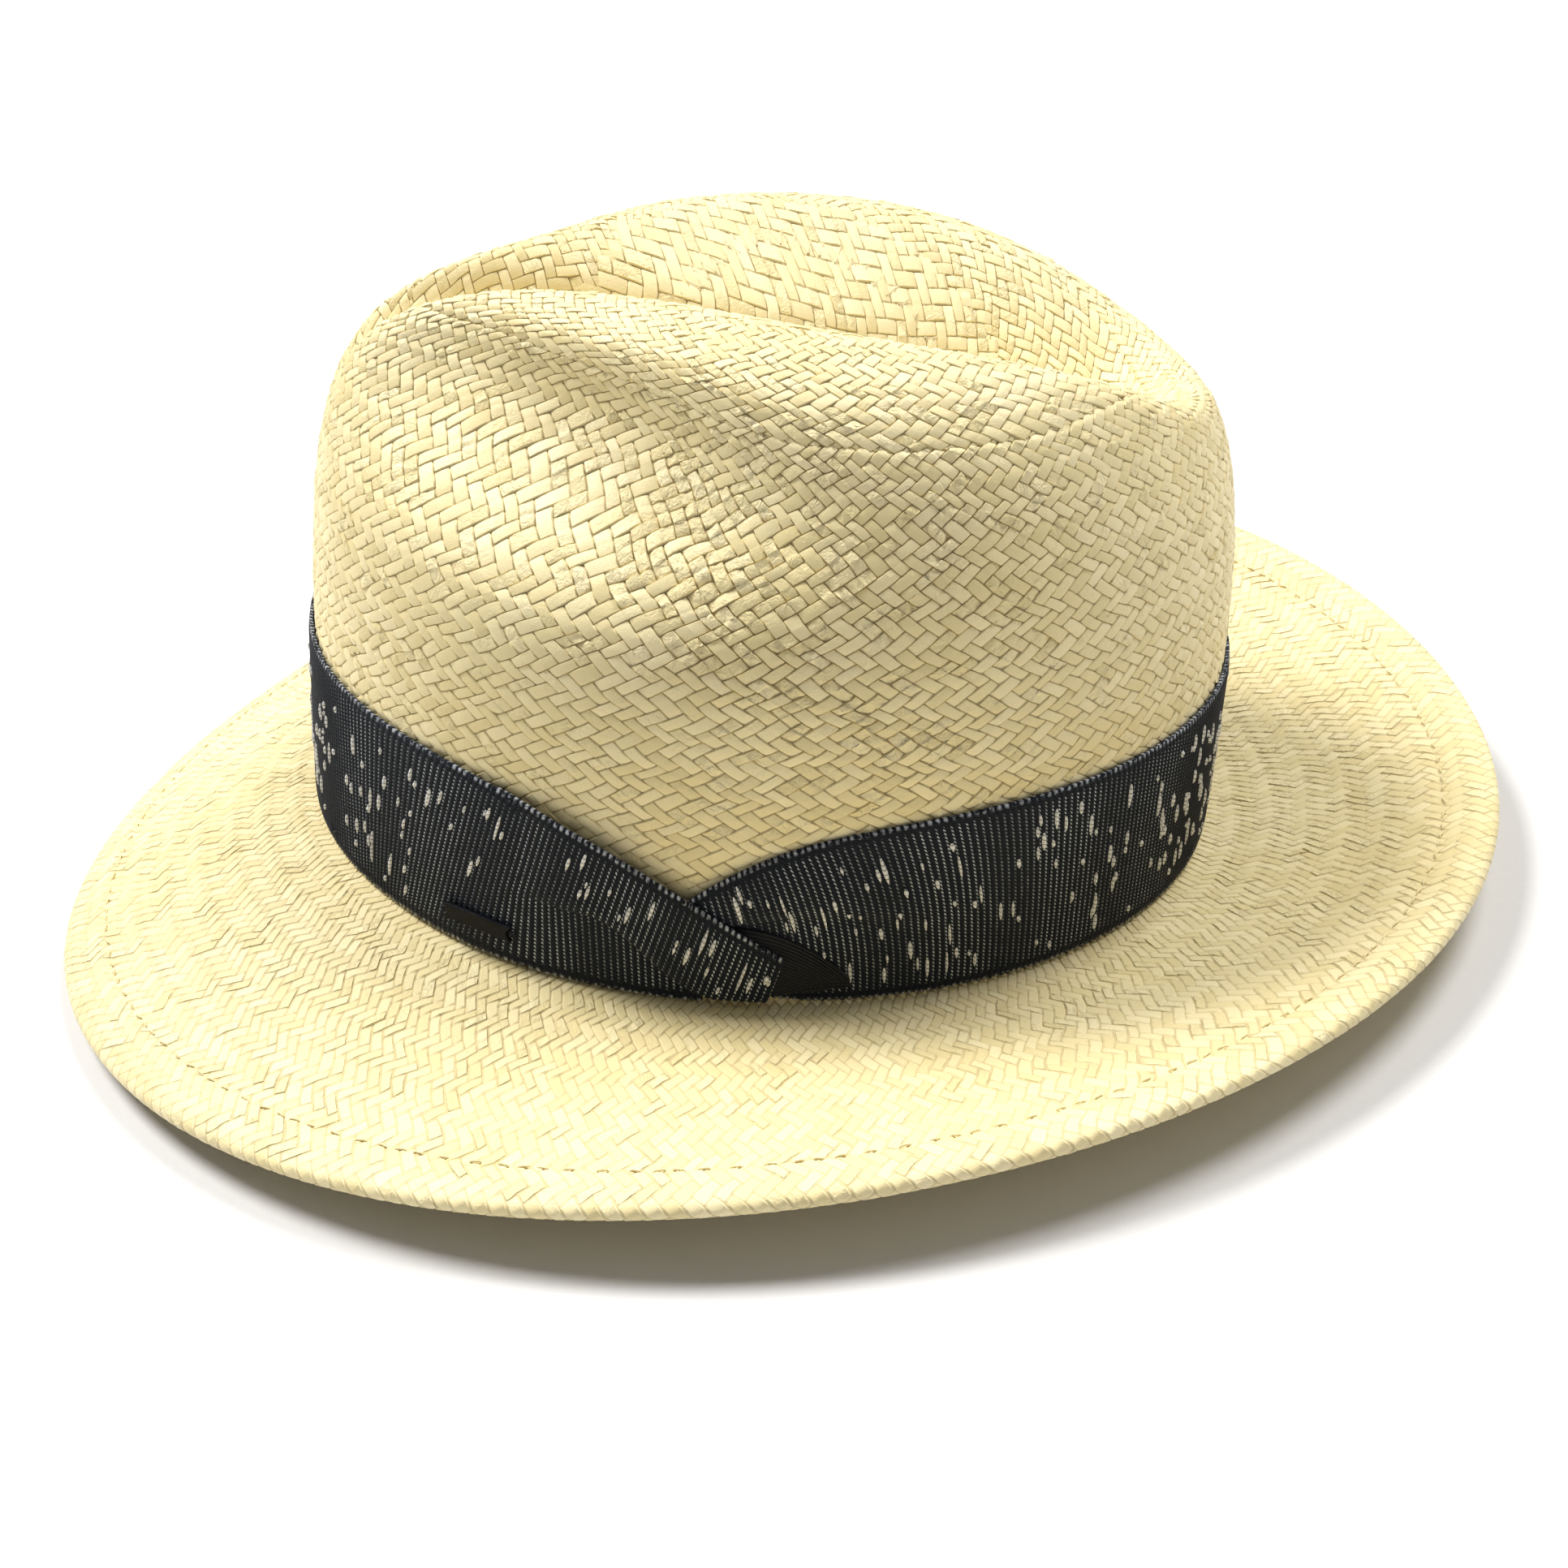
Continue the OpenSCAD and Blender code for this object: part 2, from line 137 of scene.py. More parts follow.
def creased(x, y, z):
    """A point of the open crown moved into the dent and the front pinches."""
    z = z - dent(x, y)
    side = np.where(x < 0, -1, 1)
    along = (np.abs(x) - PINCH_X) * pinch_dir[0] + (y + PINCH_Y) * pinch_dir[1]
    rise = z - PINCH_Z + PINCH_TILT * along
    push = PINCH_DEPTH * (1 - np.exp(-((x / FIN_HALF) ** 2)))
    push = push * np.exp(-((along / PINCH_LONG) ** 2) - (rise / PINCH_HIGH) ** 2)
    return np.stack([x - side * push * pinch_dir[1], y + push * pinch_dir[0], z], -1)


def dome(a, f):
    """x, y and z of the uncreased crown at angle a from the front and profile angle f."""
    e = 2 / shoulder(a)
    rho = np.maximum(np.cos(f), 0) ** e
    z = dome_h(-np.cos(a) * rho) * np.maximum(np.sin(f), 0) ** e
    k = rho * (1 - TAPER * z / 100)
    return SEMI_X * k * np.sin(a), -SEMI_Y * k * np.cos(a), z


def row_f(t):
    """Profile angle at a share t of the rows."""
    return math.pi / 2 * t**ROW_PULL / (t**ROW_PULL + (1 - t) ** ROW_PULL)


def meridians(angles=121, steps=401):
    """For each angle, the row share at evenly spaced shares of the way from the break to the top."""
    a = np.linspace(0, FULL, angles)[:, None]
    t = np.linspace(0, 1, steps)[None, :]
    p = np.stack(dome(a + 0 * t, row_f(t + 0 * a)), -1)
    length = np.array([run_length(line) for line in p])
    even = np.linspace(0, 1, steps)
    return np.array([np.interp(even, r / r[-1], t[0]) for r in length]), length[:, -1].mean()


SHARES, CROWN_ARC = meridians()


def open_crown(a, v):
    """x, y and z of the uncreased crown, v along the straw from the break, where CROWN_ARC is the top."""
    share = np.clip(v / CROWN_ARC, 0, 1) * (SHARES.shape[1] - 1)
    turn = np.mod(a / FULL, 1) * (SHARES.shape[0] - 1)
    i, j = turn.astype(int), np.minimum(share.astype(int), SHARES.shape[1] - 2)
    i = np.minimum(i, SHARES.shape[0] - 2)
    x, y = turn - i, share - j
    t = (SHARES[i, j] * (1 - x) + SHARES[i + 1, j] * x) * (1 - y)
    t = t + (SHARES[i, j + 1] * (1 - x) + SHARES[i + 1, j + 1] * x) * y
    return dome(a, row_f(np.clip(t, 0, 1)))


def crown(a, v):
    return creased(*open_crown(a, v))


def crown_top(x, y):
    """Point of the crown over x and y of the uncreased top."""
    flat = np.hypot(x / SEMI_X, y / SEMI_Y)
    a = np.arctan2(x / SEMI_X, -y / SEMI_Y)
    z = np.full_like(flat, CROWN_H)
    for _ in range(4):  # the taper needs the height, which a few rounds settle
        rho = np.minimum(flat / (1 - TAPER * z / 100), 0.999)
        m = shoulder(a)
        z = dome_h(-np.cos(a) * rho) * (1 - rho**m) ** (1 / m)
    return creased(x, y, z)


def wall_n(a):
    """Level direction straight out of the wall."""
    return unit(np.stack([SEMI_Y * np.sin(a), -SEMI_X * np.cos(a)], -1))


def wall(a, z, out):
    """Point of the plain wall at height z, out beyond the straw."""
    m = shoulder(a)
    rho = (1 - (np.maximum(z, 0) / dome_h(-np.cos(a))) ** m) ** (1 / m)
    k = rho * (1 - TAPER * z / 100)
    n = wall_n(a)
    x = SEMI_X * k * np.sin(a) + out * n[..., 0]
    y = -SEMI_Y * k * np.cos(a) + out * n[..., 1]
    return np.stack([x, y, z + 0 * x], -1)


def brim_z(a):
    """Height of the brim's edge."""
    return (0.7 - SNAP * np.cos(a) - DIP * np.cos(2 * a) + WAVE * np.cos(3 * a)
            + SIDE_LIFT * np.sin(a) + TWIST * np.sin(2 * a))


def brim_run(a):
    """Level distance from the break to the brim's edge."""
    return np.sqrt(BRIM_W**2 - brim_z(a) ** 2)


def brim(a, d, h):
    """Point of the brim d out from the break and h over its top face."""
    run = brim_run(a)
    t = np.maximum(d, 0) / run
    z = brim_z(a) * t**BEND
    slope = brim_z(a) / run * BEND * np.maximum(t, 0.02) ** (BEND - 1)
    s = np.hypot(1, slope)
    n = wall_n(a)
    out = d - h * slope / s
    x = SEMI_X * np.sin(a) + out * n[..., 0]
    y = -SEMI_Y * np.cos(a) + out * n[..., 1]
    return np.stack([x, y, z + h / s], -1)


ROLL_ARC = math.pi * ROLL_R
BRIM_TOP = BRIM_W - 2.4  # even distance from the break to where the edge starts to roll
UNDER_H = -2 * STRAW_T - 0.15  # underside of the hem
STITCH_IN = HEM_W - 1.5  # from the edge to the hem's stitches
HEM_STEP, GROOVE = 0.45, 0.28  # height of the hem's step in the top face and depth of its stitches' groove
RIPPLE, RIPPLE_LONG = 0.09, 6.3  # height and length of the slight waves on the brim
CALM = 2.1  # angle at which these waves are slightest


def brim_skin(a, v):
    """Straw surface from the wall at v < 0 over the brim, round the rolled edge and back under the hem."""
    edge = brim_run(a) - ROLL_R
    over = np.clip(v / BRIM_TOP, 0, 1)
    turn = np.clip((v - BRIM_TOP) / ROLL_ARC, 0, 1) * math.pi
    back = np.maximum(v - BRIM_TOP - ROLL_ARC, 0)
    d = np.maximum(over * edge, 0) + ROLL_R * np.sin(turn) - back
    h = ROLL_R * (np.cos(turn) - 1) + (UNDER_H + 2 * ROLL_R) * ease(back / 2.6)
    inset = brim_run(a) - d
    hem = HEM_STEP * blend(inset, HEM_W - 0.5, HEM_W - 2.5)
    hem = hem - GROOVE * np.exp(-(((inset - STITCH_IN) / 0.8) ** 2))
    ripple = RIPPLE * np.sin(FULL * v / RIPPLE_LONG) * (0.6 - 0.4 * np.cos(a - CALM))
    ripple = ripple * blend(v, 6, 16) * blend(inset, HEM_W, HEM_W + 8)
    h = h + np.where(v < BRIM_TOP, hem * blend(inset, ROLL_R, ROLL_R + 2) + ripple, 0)
    p = brim(a, d, h)
    return np.where((v < 0)[..., None], wall(a, np.maximum(-v, 0), 0.0), p)


def under_skin(a, v):
    """Underside of the straw, v out from the break, up the inside of the wall at v < 0."""
    d = np.maximum(v, -STRAW_T)
    lift = np.maximum(-STRAW_T - v, 0)
    p = brim(a, d, -STRAW_T + 0 * v)
    return np.where((lift > 0)[..., None], wall(a, lift - STRAW_T, -STRAW_T), p)


def raised(surface, a, v, h, side=1):
    """Points of a surface raised by h along its normal."""
    da, dv = 0.004, 0.4
    n = np.cross(surface(a + da, v) - surface(a - da, v), surface(a, v + dv) - surface(a, v - dv))
    return surface(a, v) + side * unit(n) * h[..., None]


# ---------- pieces ----------

def grid_quads(number):
    """Faces between the neighbours in a grid of point numbers. A transposed grid faces the other way."""
    return np.stack([number[:-1, :-1], number[1:, :-1], number[1:, 1:], number[:-1, 1:]], -1).reshape(-1, 4)


def sharpen_rims(mesh, crest):
    """Sharp edges where the straws' flat tops, whose points are all crest, meet the gaps."""
    corners, edges = np.empty(len(mesh.loops), int), np.empty(len(mesh.loops), int)
    mesh.loops.foreach_get("vertex_index", corners)
    mesh.loops.foreach_get("edge_index", edges)
    top = np.repeat(crest[corners].reshape(-1, 4).all(1), 4)
    tops = np.bincount(edges, top, len(mesh.edges))
    sides = np.bincount(edges, minlength=len(mesh.edges))
    sharp = mesh.attributes.new("sharp_edge", "BOOLEAN", "EDGE")
    sharp.data.foreach_set("value", (tops > 0) & (tops < sides))


def add_piece(name, points, faces, material, body="hat", layers=None, crest=None, smooth=True):
    """A mesh piece from points in the hat's frame. layers are named colours, one for each point."""
    mesh = bpy.data.meshes.new(name)
    mesh.from_pydata(world(points).tolist(), [], faces if isinstance(faces, list) else faces.tolist())
    mesh.validate()
    for key, values in (layers or {}).items():
        colours = np.ones((len(points), 4))
        colours[:, :values.shape[1]] = values
        mesh.attributes.new(key, "FLOAT_COLOR", "POINT").data.foreach_set("color", colours.ravel())
    mesh.polygons.foreach_set("use_smooth", np.full(len(mesh.polygons), smooth))
    if crest is not None:
        sharpen_rims(mesh, crest)
    piece = bpy.data.objects.new(name, mesh)
    bpy.context.scene.collection.objects.link(piece)
    piece.data.materials.append(material)
    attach(piece, body)
    return piece


# ---------- weave ----------

TOP_X, TOP_Y = 46.0, 54.0  # half sizes of the oval at the top that is woven square on
# shares of a cell at which the relief has a line: for crowned straws, plain ones, and the rolled edge
FINE = (0, 0.075, 0.5, 0.925)
COARSE = (0, 0.13, 0.87)
ROUND = (0, 0.13, 0.5, 0.87)
LEVEL, GAP = 0.75, -0.25  # height share that lies on the surface, and where four straws meet
# how far a float dips at its ends, arches across, differs from straw to straw, and tilts
FLOAT_DIP, ARCH, UNEVEN, TILT = 0.55, 1.1, 0.24, 0.75
# how much more the straws are crumpled, and the trail's angle, way up, fall for each degree, and half width
RIDGE_WEAR, TRAIL_WEAR = 0.2, 0.36
TRAIL_TURN, TRAIL_V, TRAIL_FALL, TRAIL_HALF = 70, 88, 1.1, 10
WHOLE = 0.97  # share of the oval at which the square weave's cells end


def worn(a, v):
    """How much more the straws are crumpled along the near ridge and down a trail under it."""
    turn = np.degrees(a) % 360
    near = blend(turn, 38, 62) * blend(turn, 128, 104)
    trail = np.exp(-(((v - TRAIL_V + TRAIL_FALL * (turn - TRAIL_TURN)) / TRAIL_HALF) ** 2))
    trail = trail * blend(turn, 60, 68) * blend(turn, 112, 98)
    return RIDGE_WEAR * near * blend(v, 70, 92) * blend(v, 135, 112) + TRAIL_WEAR * trail


def relief(i, j, p, q, share, strands, wear=0.0):
    """Two-over-two twill: each point's height share, layers of tone, height (for the painted shade in the
    gaps) and crumple, and crest mark.

    A straw of the first family floats over cells whose i + j is 0 or 1 in four, and one of the second
    over the rest. p and q number the lines inside a cell, and 0 is the line between two straws."""
    x, y = share[p], share[q]
    on_i, on_j = p == 0, q == 0
    s = np.mod(i + j, 4)
    first = s < 2
    along = np.where(first, (s == 1) + y, (s == 3) + x)
    across = np.where(first, x, y)
    crest = (~on_i & ~on_j) | (on_j & ~on_i & (s == 1)) | (on_i & ~on_j & (s == 3))
    end = 1 - np.abs(along - 1)
    height = (1 - FLOAT_DIP * np.maximum(0, 1 - end / 0.4) ** 2) * (1 - ARCH * (across - 0.5) ** 2)
    chance = np.random.default_rng(strands).random((2, strands, 64, 4))
    pick = chance[first.astype(int), np.mod(np.where(first, i, j), strands), np.mod((i + j) // 4, 64)]
    height = height + UNEVEN * (pick[..., 0] - 0.5) + TILT * (pick[..., 1] - 0.5) * (across - 0.5)
    n = len(share)
    spot = np.mod(i * n + p, strands * n) * 12.9898 + ((i + j) * n + p + q) * 78.233
    spot = np.mod(np.sin(spot) * 43758.5453, 1) - 0.5
    crumple = np.clip(pick[..., 3] + wear, 0, 1)
    height = height + spot * (0.12 + 0.8 * blend(crumple, 0.7, 1.0))
    height = np.where(crest, height, np.where(on_i & on_j, GAP, 0.0))
    layer = [np.where(crest, pick[..., 2], 0.5), np.where(crest, np.clip(height, 0, 1), 0),
             np.where(crest, crumple, 0.3)]
    return height, np.stack(layer, -1), crest


def ring_weave(surface, strands, w_lo, w_hi, rate, deep, steps=FINE, side=1, lift=0.0, tuck=(0, 0),
               joins=0, keep=None):
    """Straws crossing on both slants round the hat, from w_lo to w_hi pairs of rows, rate of them a mm.

    deep is the relief, and tuck how far the first and last rows are sunk. With joins at 1 it meets the
    next ring, which has as many straws, without a gap. keep marks the angles and ways along that stay."""
    n = len(steps)
    share = np.array(steps)
    s = np.arange(round(2 * w_lo) * n, round(2 * w_hi) * n + 1 + joins)[:, None]
    d = 2 * np.arange(n * strands)[None, :] + (s & 1)
    i, p = np.divmod((s + d) // 2, n)
    j, q = np.divmod((s - d) // 2, n)
    wear = worn(math.pi * (i - j) / strands, (i + j) / 2 / rate) if side > 0 else 0.0
    height, layer, crest = relief(i, j, p, q, share, strands, wear)
    drift = np.random.default_rng(strands + 1).normal(0, 0.05, (2, strands))

    def line(k, part, family):
        """Where a line lies among the straws, which aren't all equally wide."""
        here, after = drift[family, np.mod(k, strands)], drift[family, np.mod(k + 1, strands)]
        return k + part + here * (1 - part) + after * part

    x, y = line(i, share[p], 0), line(j, share[q], 1)
    u, w = (x - y) / (2 * strands), (x + y) / 2
    sunk = tuck[0] * (s < s[0] + 2) + tuck[1] * np.clip((w - w_hi + 1) / 0.3, 0, 1)
    a = FULL * u
    # the lines wander a little, in whole waves round the hat
    wander = np.sin(9 * a + 1.7 * w) + np.sin(23 * a - 0.9 * w + 2 * np.sin(5 * a))
    v = w / rate + 0.22 * wander
    a = a + 0.0022 * np.sin(1.3 * w + 17 * a) + 0.0016 * np.sin(2.9 * w - 31 * a)
    if surface is crown:
        # it dives under the square weave
        share_in = top_share(*open_crown(a, v)[:2])
        under = 0.15 * blend(share_in, 1.04, WHOLE) + 0.45 * blend(share_in, 0.96, 0.90)
        sunk = sunk + under * (v > 0.5 * CROWN_ARC)
    if surface is brim_skin:
        # it is pressed flatter on the hem and more so on the rolled edge
        pressed = 0.35 * blend(v, BRIM_TOP - HEM_W, BRIM_TOP - 4) + 0.3 * blend(v, BRIM_TOP - 2, BRIM_TOP)
        deep = deep * (1 - pressed)
    points = raised(surface, a, v, lift + deep * (1 + wear) * (height - LEVEL) - sunk, side)
    rows, cols = points.shape[:2]
    number = np.arange(rows * cols).reshape(rows, cols)

    def at(ds, dd):
        """The number of the point ds rows on and dd steps round, which has to keep its row's parity."""
        return number[(s + ds - s[0])[: rows - 2], np.mod(d[: rows - 2] + dd, 2 * cols) // 2]

    quads = np.stack([at(0, 0), at(1, 1), at(2, 0), at(1, -1)], -1).reshape(-1, 4)[:, ::side]
    if keep is not None:
        quads = quads[keep(np.stack([a, v], -1).reshape(-1, 2)[quads].mean(1))]
    return points.reshape(-1, 3), quads, layer.reshape(-1, 3), crest.ravel()


def top_share(x, y):
    """Where x and y lie in the oval that is woven square on: 0 in its middle, 1 on its border."""
    return np.hypot(x / TOP_X, y / TOP_Y)


def flat_weave(surface, pitch, deep, steps=FINE, side=1, lift=0.0):
    """Straws crossing square on over the oval at the top, in whole cells, and tucked in round its rim."""
    n = len(steps)
    share = np.array(steps)
    nx, ny = math.ceil(TOP_X / pitch), math.ceil(TOP_Y / pitch)
    i, p = np.divmod(np.arange(-nx * n, nx * n + 1)[:, None], n)
    j, q = np.divmod(np.arange(-ny * n, ny * n + 1)[None, :], n)
    i, p, j, q = np.broadcast_arrays(i, p, j, q)
    height, layer, crest = relief(i, j, p, q, share, 128)
    px, py = (i + share[p]) * pitch, (j + share[q]) * pitch
    px = px + 0.25 * np.sin(py / 9 + 1) + 0.12 * np.sin(py / 3.1)
    py = py + 0.25 * np.sin(px / 8) + 0.12 * np.sin(px / 2.7 + 2)
    whole = top_share((i + 0.5) * pitch, (j + 0.5) * pitch)[:-1, :-1] < WHOLE
    beside = np.pad(whole, 1)
    rim = ~(beside[:-1, :-1] & beside[1:, :-1] & beside[:-1, 1:] & beside[1:, 1:])
    above = 0.05 * blend(top_share(px, py), 0.7, 0.95) - 0.45 * rim
    points = raised(surface, px, py, lift + deep * (height - LEVEL) + above, side)
    quads = grid_quads(np.arange(px.size).reshape(px.shape))[whole.ravel(), ::side]
    return points.reshape(-1, 3), quads, layer.reshape(-1, 3), crest.ravel()


def add_straw(name, parts):
    """Several woven grids as one piece, without the points that no face uses."""
    first = np.cumsum([0] + [len(part[0]) for part in parts[:-1]])
    quads = np.concatenate([part[1] + k for part, k in zip(parts, first)])
    points, layer, crest = (np.concatenate([part[k] for part in parts]) for k in (0, 2, 3))
    used, quads = np.unique(quads, return_inverse=True)
    return add_piece(name, points[used], quads.reshape(-1, 4), STRAW,
                     layers={"weave": layer[used]}, crest=crest[used])


# ---------- materials ----------

CLOTH_UNIT = 100  # millimetres for each 1 of the cloth layer
FINE_RIB = 0.8  # distance from rib to rib of the grosgrain
DASH, DASH_SHIFT = 0.9, 9.0  # length of the ribbon thread's dashes, and their shift from rib to rib
WEFT = 0.5  # distance between the fine cross threads of the ribbon
SLUB_WRAP = 1.05  # distance between the threads across a slub


class Nodes:
    """A short way to write a material's node tree."""

    def __init__(self, name, **sockets):
        self.material = bpy.data.materials.new(name)
        self.material.use_nodes = True
        self.tree = self.material.node_tree
        self.shader = self.tree.nodes["Principled BSDF"]
        self.put(self.shader, sockets)
        self.place = self.add("TexCoord").outputs["Object"]

    def join(self, value, socket):
        if isinstance(value, bpy.types.NodeSocket):
            self.tree.links.new(value, socket)
        else:
            socket.default_value = value

    def put(self, node, sockets):
        for key, value in sockets.items():
            self.join(value, node.inputs[key if key in node.inputs else key.replace("_", " ")])

    def add(self, kind, settings=None, **sockets):
        node = self.tree.nodes.new("ShaderNode" + kind)
        for key, value in (settings or {}).items():
            setattr(node, key, value)
        self.put(node, sockets)
        return node

    def noise(self, scale, detail=2.0, distortion=0.0):
        node = self.add("TexNoise", Vector=self.place, Scale=scale, Detail=detail, Distortion=distortion)
        return node.outputs["Fac"]

    def math(self, operation, a, b=0.0, c=0.0):
        node = self.add("Math", {"operation": operation})
        for socket, value in zip(node.inputs, (a, b, c)):
            self.join(value, socket)
        return node.outputs[0]

    def wave(self, value, turn, shift=0.0):
        return self.math("SINE", self.math("MULTIPLY_ADD", value, turn, shift))

    def span(self, value, low, high, to_low=0.0, to_high=1.0):
        node = self.add("MapRange", {"clamp": True}, Value=value)
        self.put(node, {"From Min": low, "From Max": high, "To Min": to_low, "To Max": to_high})
        return node.outputs["Result"]

    def mix(self, factor, a, b, how="MIX"):
        node = self.add("Mix", {"data_type": "RGBA", "blend_type": how})
        for number, value in ((0, factor), (6, a), (7, b)):  # the colour version's sockets
            self.join(value, node.inputs[number])
        return node.outputs[2]

    def layer(self, name):
        colour = self.add("Attribute", {"attribute_name": name}).outputs["Color"]
        split = self.add("SeparateColor", Color=colour)
        return split.outputs["Red"], split.outputs["Green"], split.outputs["Blue"]

    def finish(self, colour, roughness, bump, distance):
        normal = self.add("Bump", Height=bump, Distance=distance, Strength=1.0).outputs["Normal"]
        self.put(self.shader, {"Base Color": colour, "Roughness": roughness, "Normal": normal})
        return self.material


def straw_material():
    """Twisted paper straw: each straw has its own tone, some are crumpled, and the gaps between the straws
    get painted shade.
    """
    m = Nodes("paper_straw", Specular_IOR_Level=0.4, Sheen_Weight=0.08, Sheen_Roughness=0.5)
    shade, height, crumple = m.layer("weave")
    grain = m.noise(2600, 3)
    creases = m.noise(620, 3, 1.6)
    colour = m.mix(shade, (0.82, 0.70, 0.38, 1), (0.93, 0.82, 0.51, 1))
    yellower = m.mix(1.0, colour, (1.0, 0.985, 0.93, 1), "MULTIPLY")
    colour = m.mix(m.span(m.noise(26, 2), 0.35, 0.65), colour, yellower)
    colour = m.mix(m.span(grain, 0.35, 0.7, 0.0, 0.16), colour, (0.70, 0.57, 0.27, 1))
    # painted shade: the lower a point lies below a straw's top, the more dark brown it gets, darkest in the
    # gaps
    colour = m.mix(m.span(height, 0.0, 0.5, 0.62, 0.0), colour, (0.38, 0.28, 0.11, 1))
    rough = m.span(grain, 0.3, 0.7, 0.42, 0.6)
    wrinkle = m.math("MULTIPLY", creases, m.span(crumple, 0.55, 1.0, 0.12, 1.0))
    return m.finish(colour, rough, m.math("ADD", wrinkle, m.math("MULTIPLY", grain, 0.12)), 0.00045)


def thread_material(name, dark, pale, pitch, roughness=0.7):
    """Twisted thread or fine cloth: a diagonal fleck of pale on dark at the given pitch in millimetres."""
    m = Nodes(name, Specular_IOR_Level=0.3, Sheen_Weight=0.15, Sheen_Roughness=0.4)
    fleck = m.noise(1000 / pitch, 2, 0.6)
    fibre = m.noise(5200, 2)
    colour = m.mix(m.span(fleck, 0.42, 0.62), dark, pale)
    colour = m.mix(m.span(m.noise(70, 2), 0.35, 0.65, 0.0, 0.25), colour, dark)
    rough = m.span(fibre, 0.3, 0.7, roughness - 0.12, roughness + 0.1)
    return m.finish(colour, rough, m.math("ADD", fleck, m.math("MULTIPLY", fibre, 0.4)), 0.00012)


def weave_material(name, dark, pale, pitch, slant):
    """Cloth with its yarns at pitch millimetres along the layer's red and green, crossing on a slant."""
    m = Nodes(name, Specular_IOR_Level=0.25, Sheen_Weight=0.3, Sheen_Roughness=0.4)
    along, up, _ = m.layer("cloth")
    turn = FULL * CLOTH_UNIT / pitch
    first = m.wave(along, turn, m.math("MULTIPLY", up, turn * slant))
    second = m.wave(up, turn, m.math("MULTIPLY", along, -turn * slant))
    yarn = m.math("MULTIPLY", first, second)
    fibre = m.noise(4200, 2)
    colour = m.mix(m.span(first, -0.6, 0.8), dark, pale)
    colour = m.mix(m.span(m.noise(90, 2), 0.35, 0.65, 0.0, 0.35), colour, dark)
    rough = m.span(fibre, 0.3, 0.7, 0.6, 0.85)
    bump = m.math("ADD", m.math("MULTIPLY", first, 0.5), m.math("MULTIPLY_ADD", yarn, 0.25, fibre))
    return m.finish(colour, rough, bump, 0.00012)


def ribbon_material():
    """Navy ribs with a twisted pale thread between them, plain selvedges, and dark picots with a painted grey
    highlight.
    """
    m = Nodes("slub_ribbon", Specular_IOR_Level=0.2, Sheen_Weight=0.06, Sheen_Roughness=0.4)
    rib, along, edge = m.layer("ribbon")
    side = m.math("ABSOLUTE", m.math("SUBTRACT", m.math("FRACT", rib), 0.5))
    twist = m.wave(along, FULL / DASH, m.math("MULTIPLY", rib, DASH_SHIFT))
    cross = m.wave(along, FULL / WEFT)
    patchy = m.span(m.noise(420, 2), 0.36, 0.58, 0.45, 1.0)
    light = m.math("MULTIPLY", m.span(side, 0.33, 0.42), m.span(twist, -0.25, 0.35))
    thread = m.wave(m.math("FLOOR", m.math("ADD", rib, 0.5)), 12.9)  # each has its own strength
    patchy = m.math("MULTIPLY", patchy, m.span(thread, -0.8, 0.5, 0.45, 1.0))
    light = m.math("MULTIPLY", m.math("MULTIPLY", light, patchy), m.span(edge, 1.5, 2.4))
    colour = m.mix(m.span(cross, -0.6, 0.9), (0.002, 0.004, 0.008, 1), (0.007, 0.012, 0.024, 1))
    colour = m.mix(light, colour, (0.76, 0.84, 0.92, 1))
    # painted highlight: grey on the tips of the picot loops along both edges
    picot_highlight = m.math("MULTIPLY", m.span(edge, 0.75, 0.25), m.span(side, 0.34, 0.16))
    picot_highlight = m.math("MULTIPLY", picot_highlight, m.span(m.noise(900, 2), 0.4, 0.6))
    colour = m.mix(picot_highlight, colour, (0.52, 0.55, 0.60, 1))
    fibre = m.noise(4200, 2)
    rough = m.span(fibre, 0.3, 0.7, 0.55, 0.8)
    weft = m.math("MULTIPLY_ADD", cross, 0.25, fibre)
    bump = m.math("MULTIPLY_ADD", twist, m.math("MULTIPLY", light, 0.6), weft)
    return m.finish(colour, rough, bump, 0.00016)


def slub_material():
    """Soft white slubs crossed by fine dark threads."""
    m = Nodes("slub", Specular_IOR_Level=0.25, Sheen_Weight=0.3, Sheen_Roughness=0.4)
    along, _, bright = m.layer("slub")
    cross = m.wave(along, FULL / SLUB_WRAP)
    colour = m.mix(bright, (0.70, 0.70, 0.70, 1), (0.95, 0.94, 0.91, 1))
    colour = m.mix(m.span(m.noise(1500, 2), 0.4, 0.7, 0.0, 0.35), colour, (0.35, 0.35, 0.37, 1))
    colour = m.mix(m.span(cross, 0.72, 0.95, 0.0, 0.85), colour, (0.03, 0.035, 0.05, 1))
    return m.finish(colour, m.span(cross, -1, 1, 0.8, 0.6), m.noise(3800, 2), 0.0001)


def grosgrain_material():
    """Near-black fine ribs."""
    m = Nodes("grosgrain", Specular_IOR_Level=0.3, Sheen_Weight=0.1, Sheen_Roughness=0.35)
    _, across, _ = m.layer("cloth")
    rib = m.wave(across, FULL * CLOTH_UNIT / FINE_RIB)
    fibre = m.noise(3600, 2)
    colour = m.mix(m.span(rib, -0.7, 0.9), (0.003, 0.003, 0.005, 1), (0.010, 0.012, 0.018, 1))
    return m.finish(colour, m.span(fibre, 0.3, 0.7, 0.5, 0.7), m.math("ADD", rib, fibre), 0.00012)


def paint_material():
    """Satin dark paint, rubbed a little lighter in patches."""
    m = Nodes("badge_paint", Specular_IOR_Level=0.12)
    grain = m.noise(1800, 3)
    rub = m.span(m.noise(160, 3, 0.8), 0.45, 0.65, 0.0, 0.5)
    colour = m.mix(rub, (0.003, 0.004, 0.006, 1), (0.009, 0.010, 0.013, 1))
    return m.finish(colour, m.span(grain, 0.3, 0.7, 0.3, 0.5), grain, 0.00006)


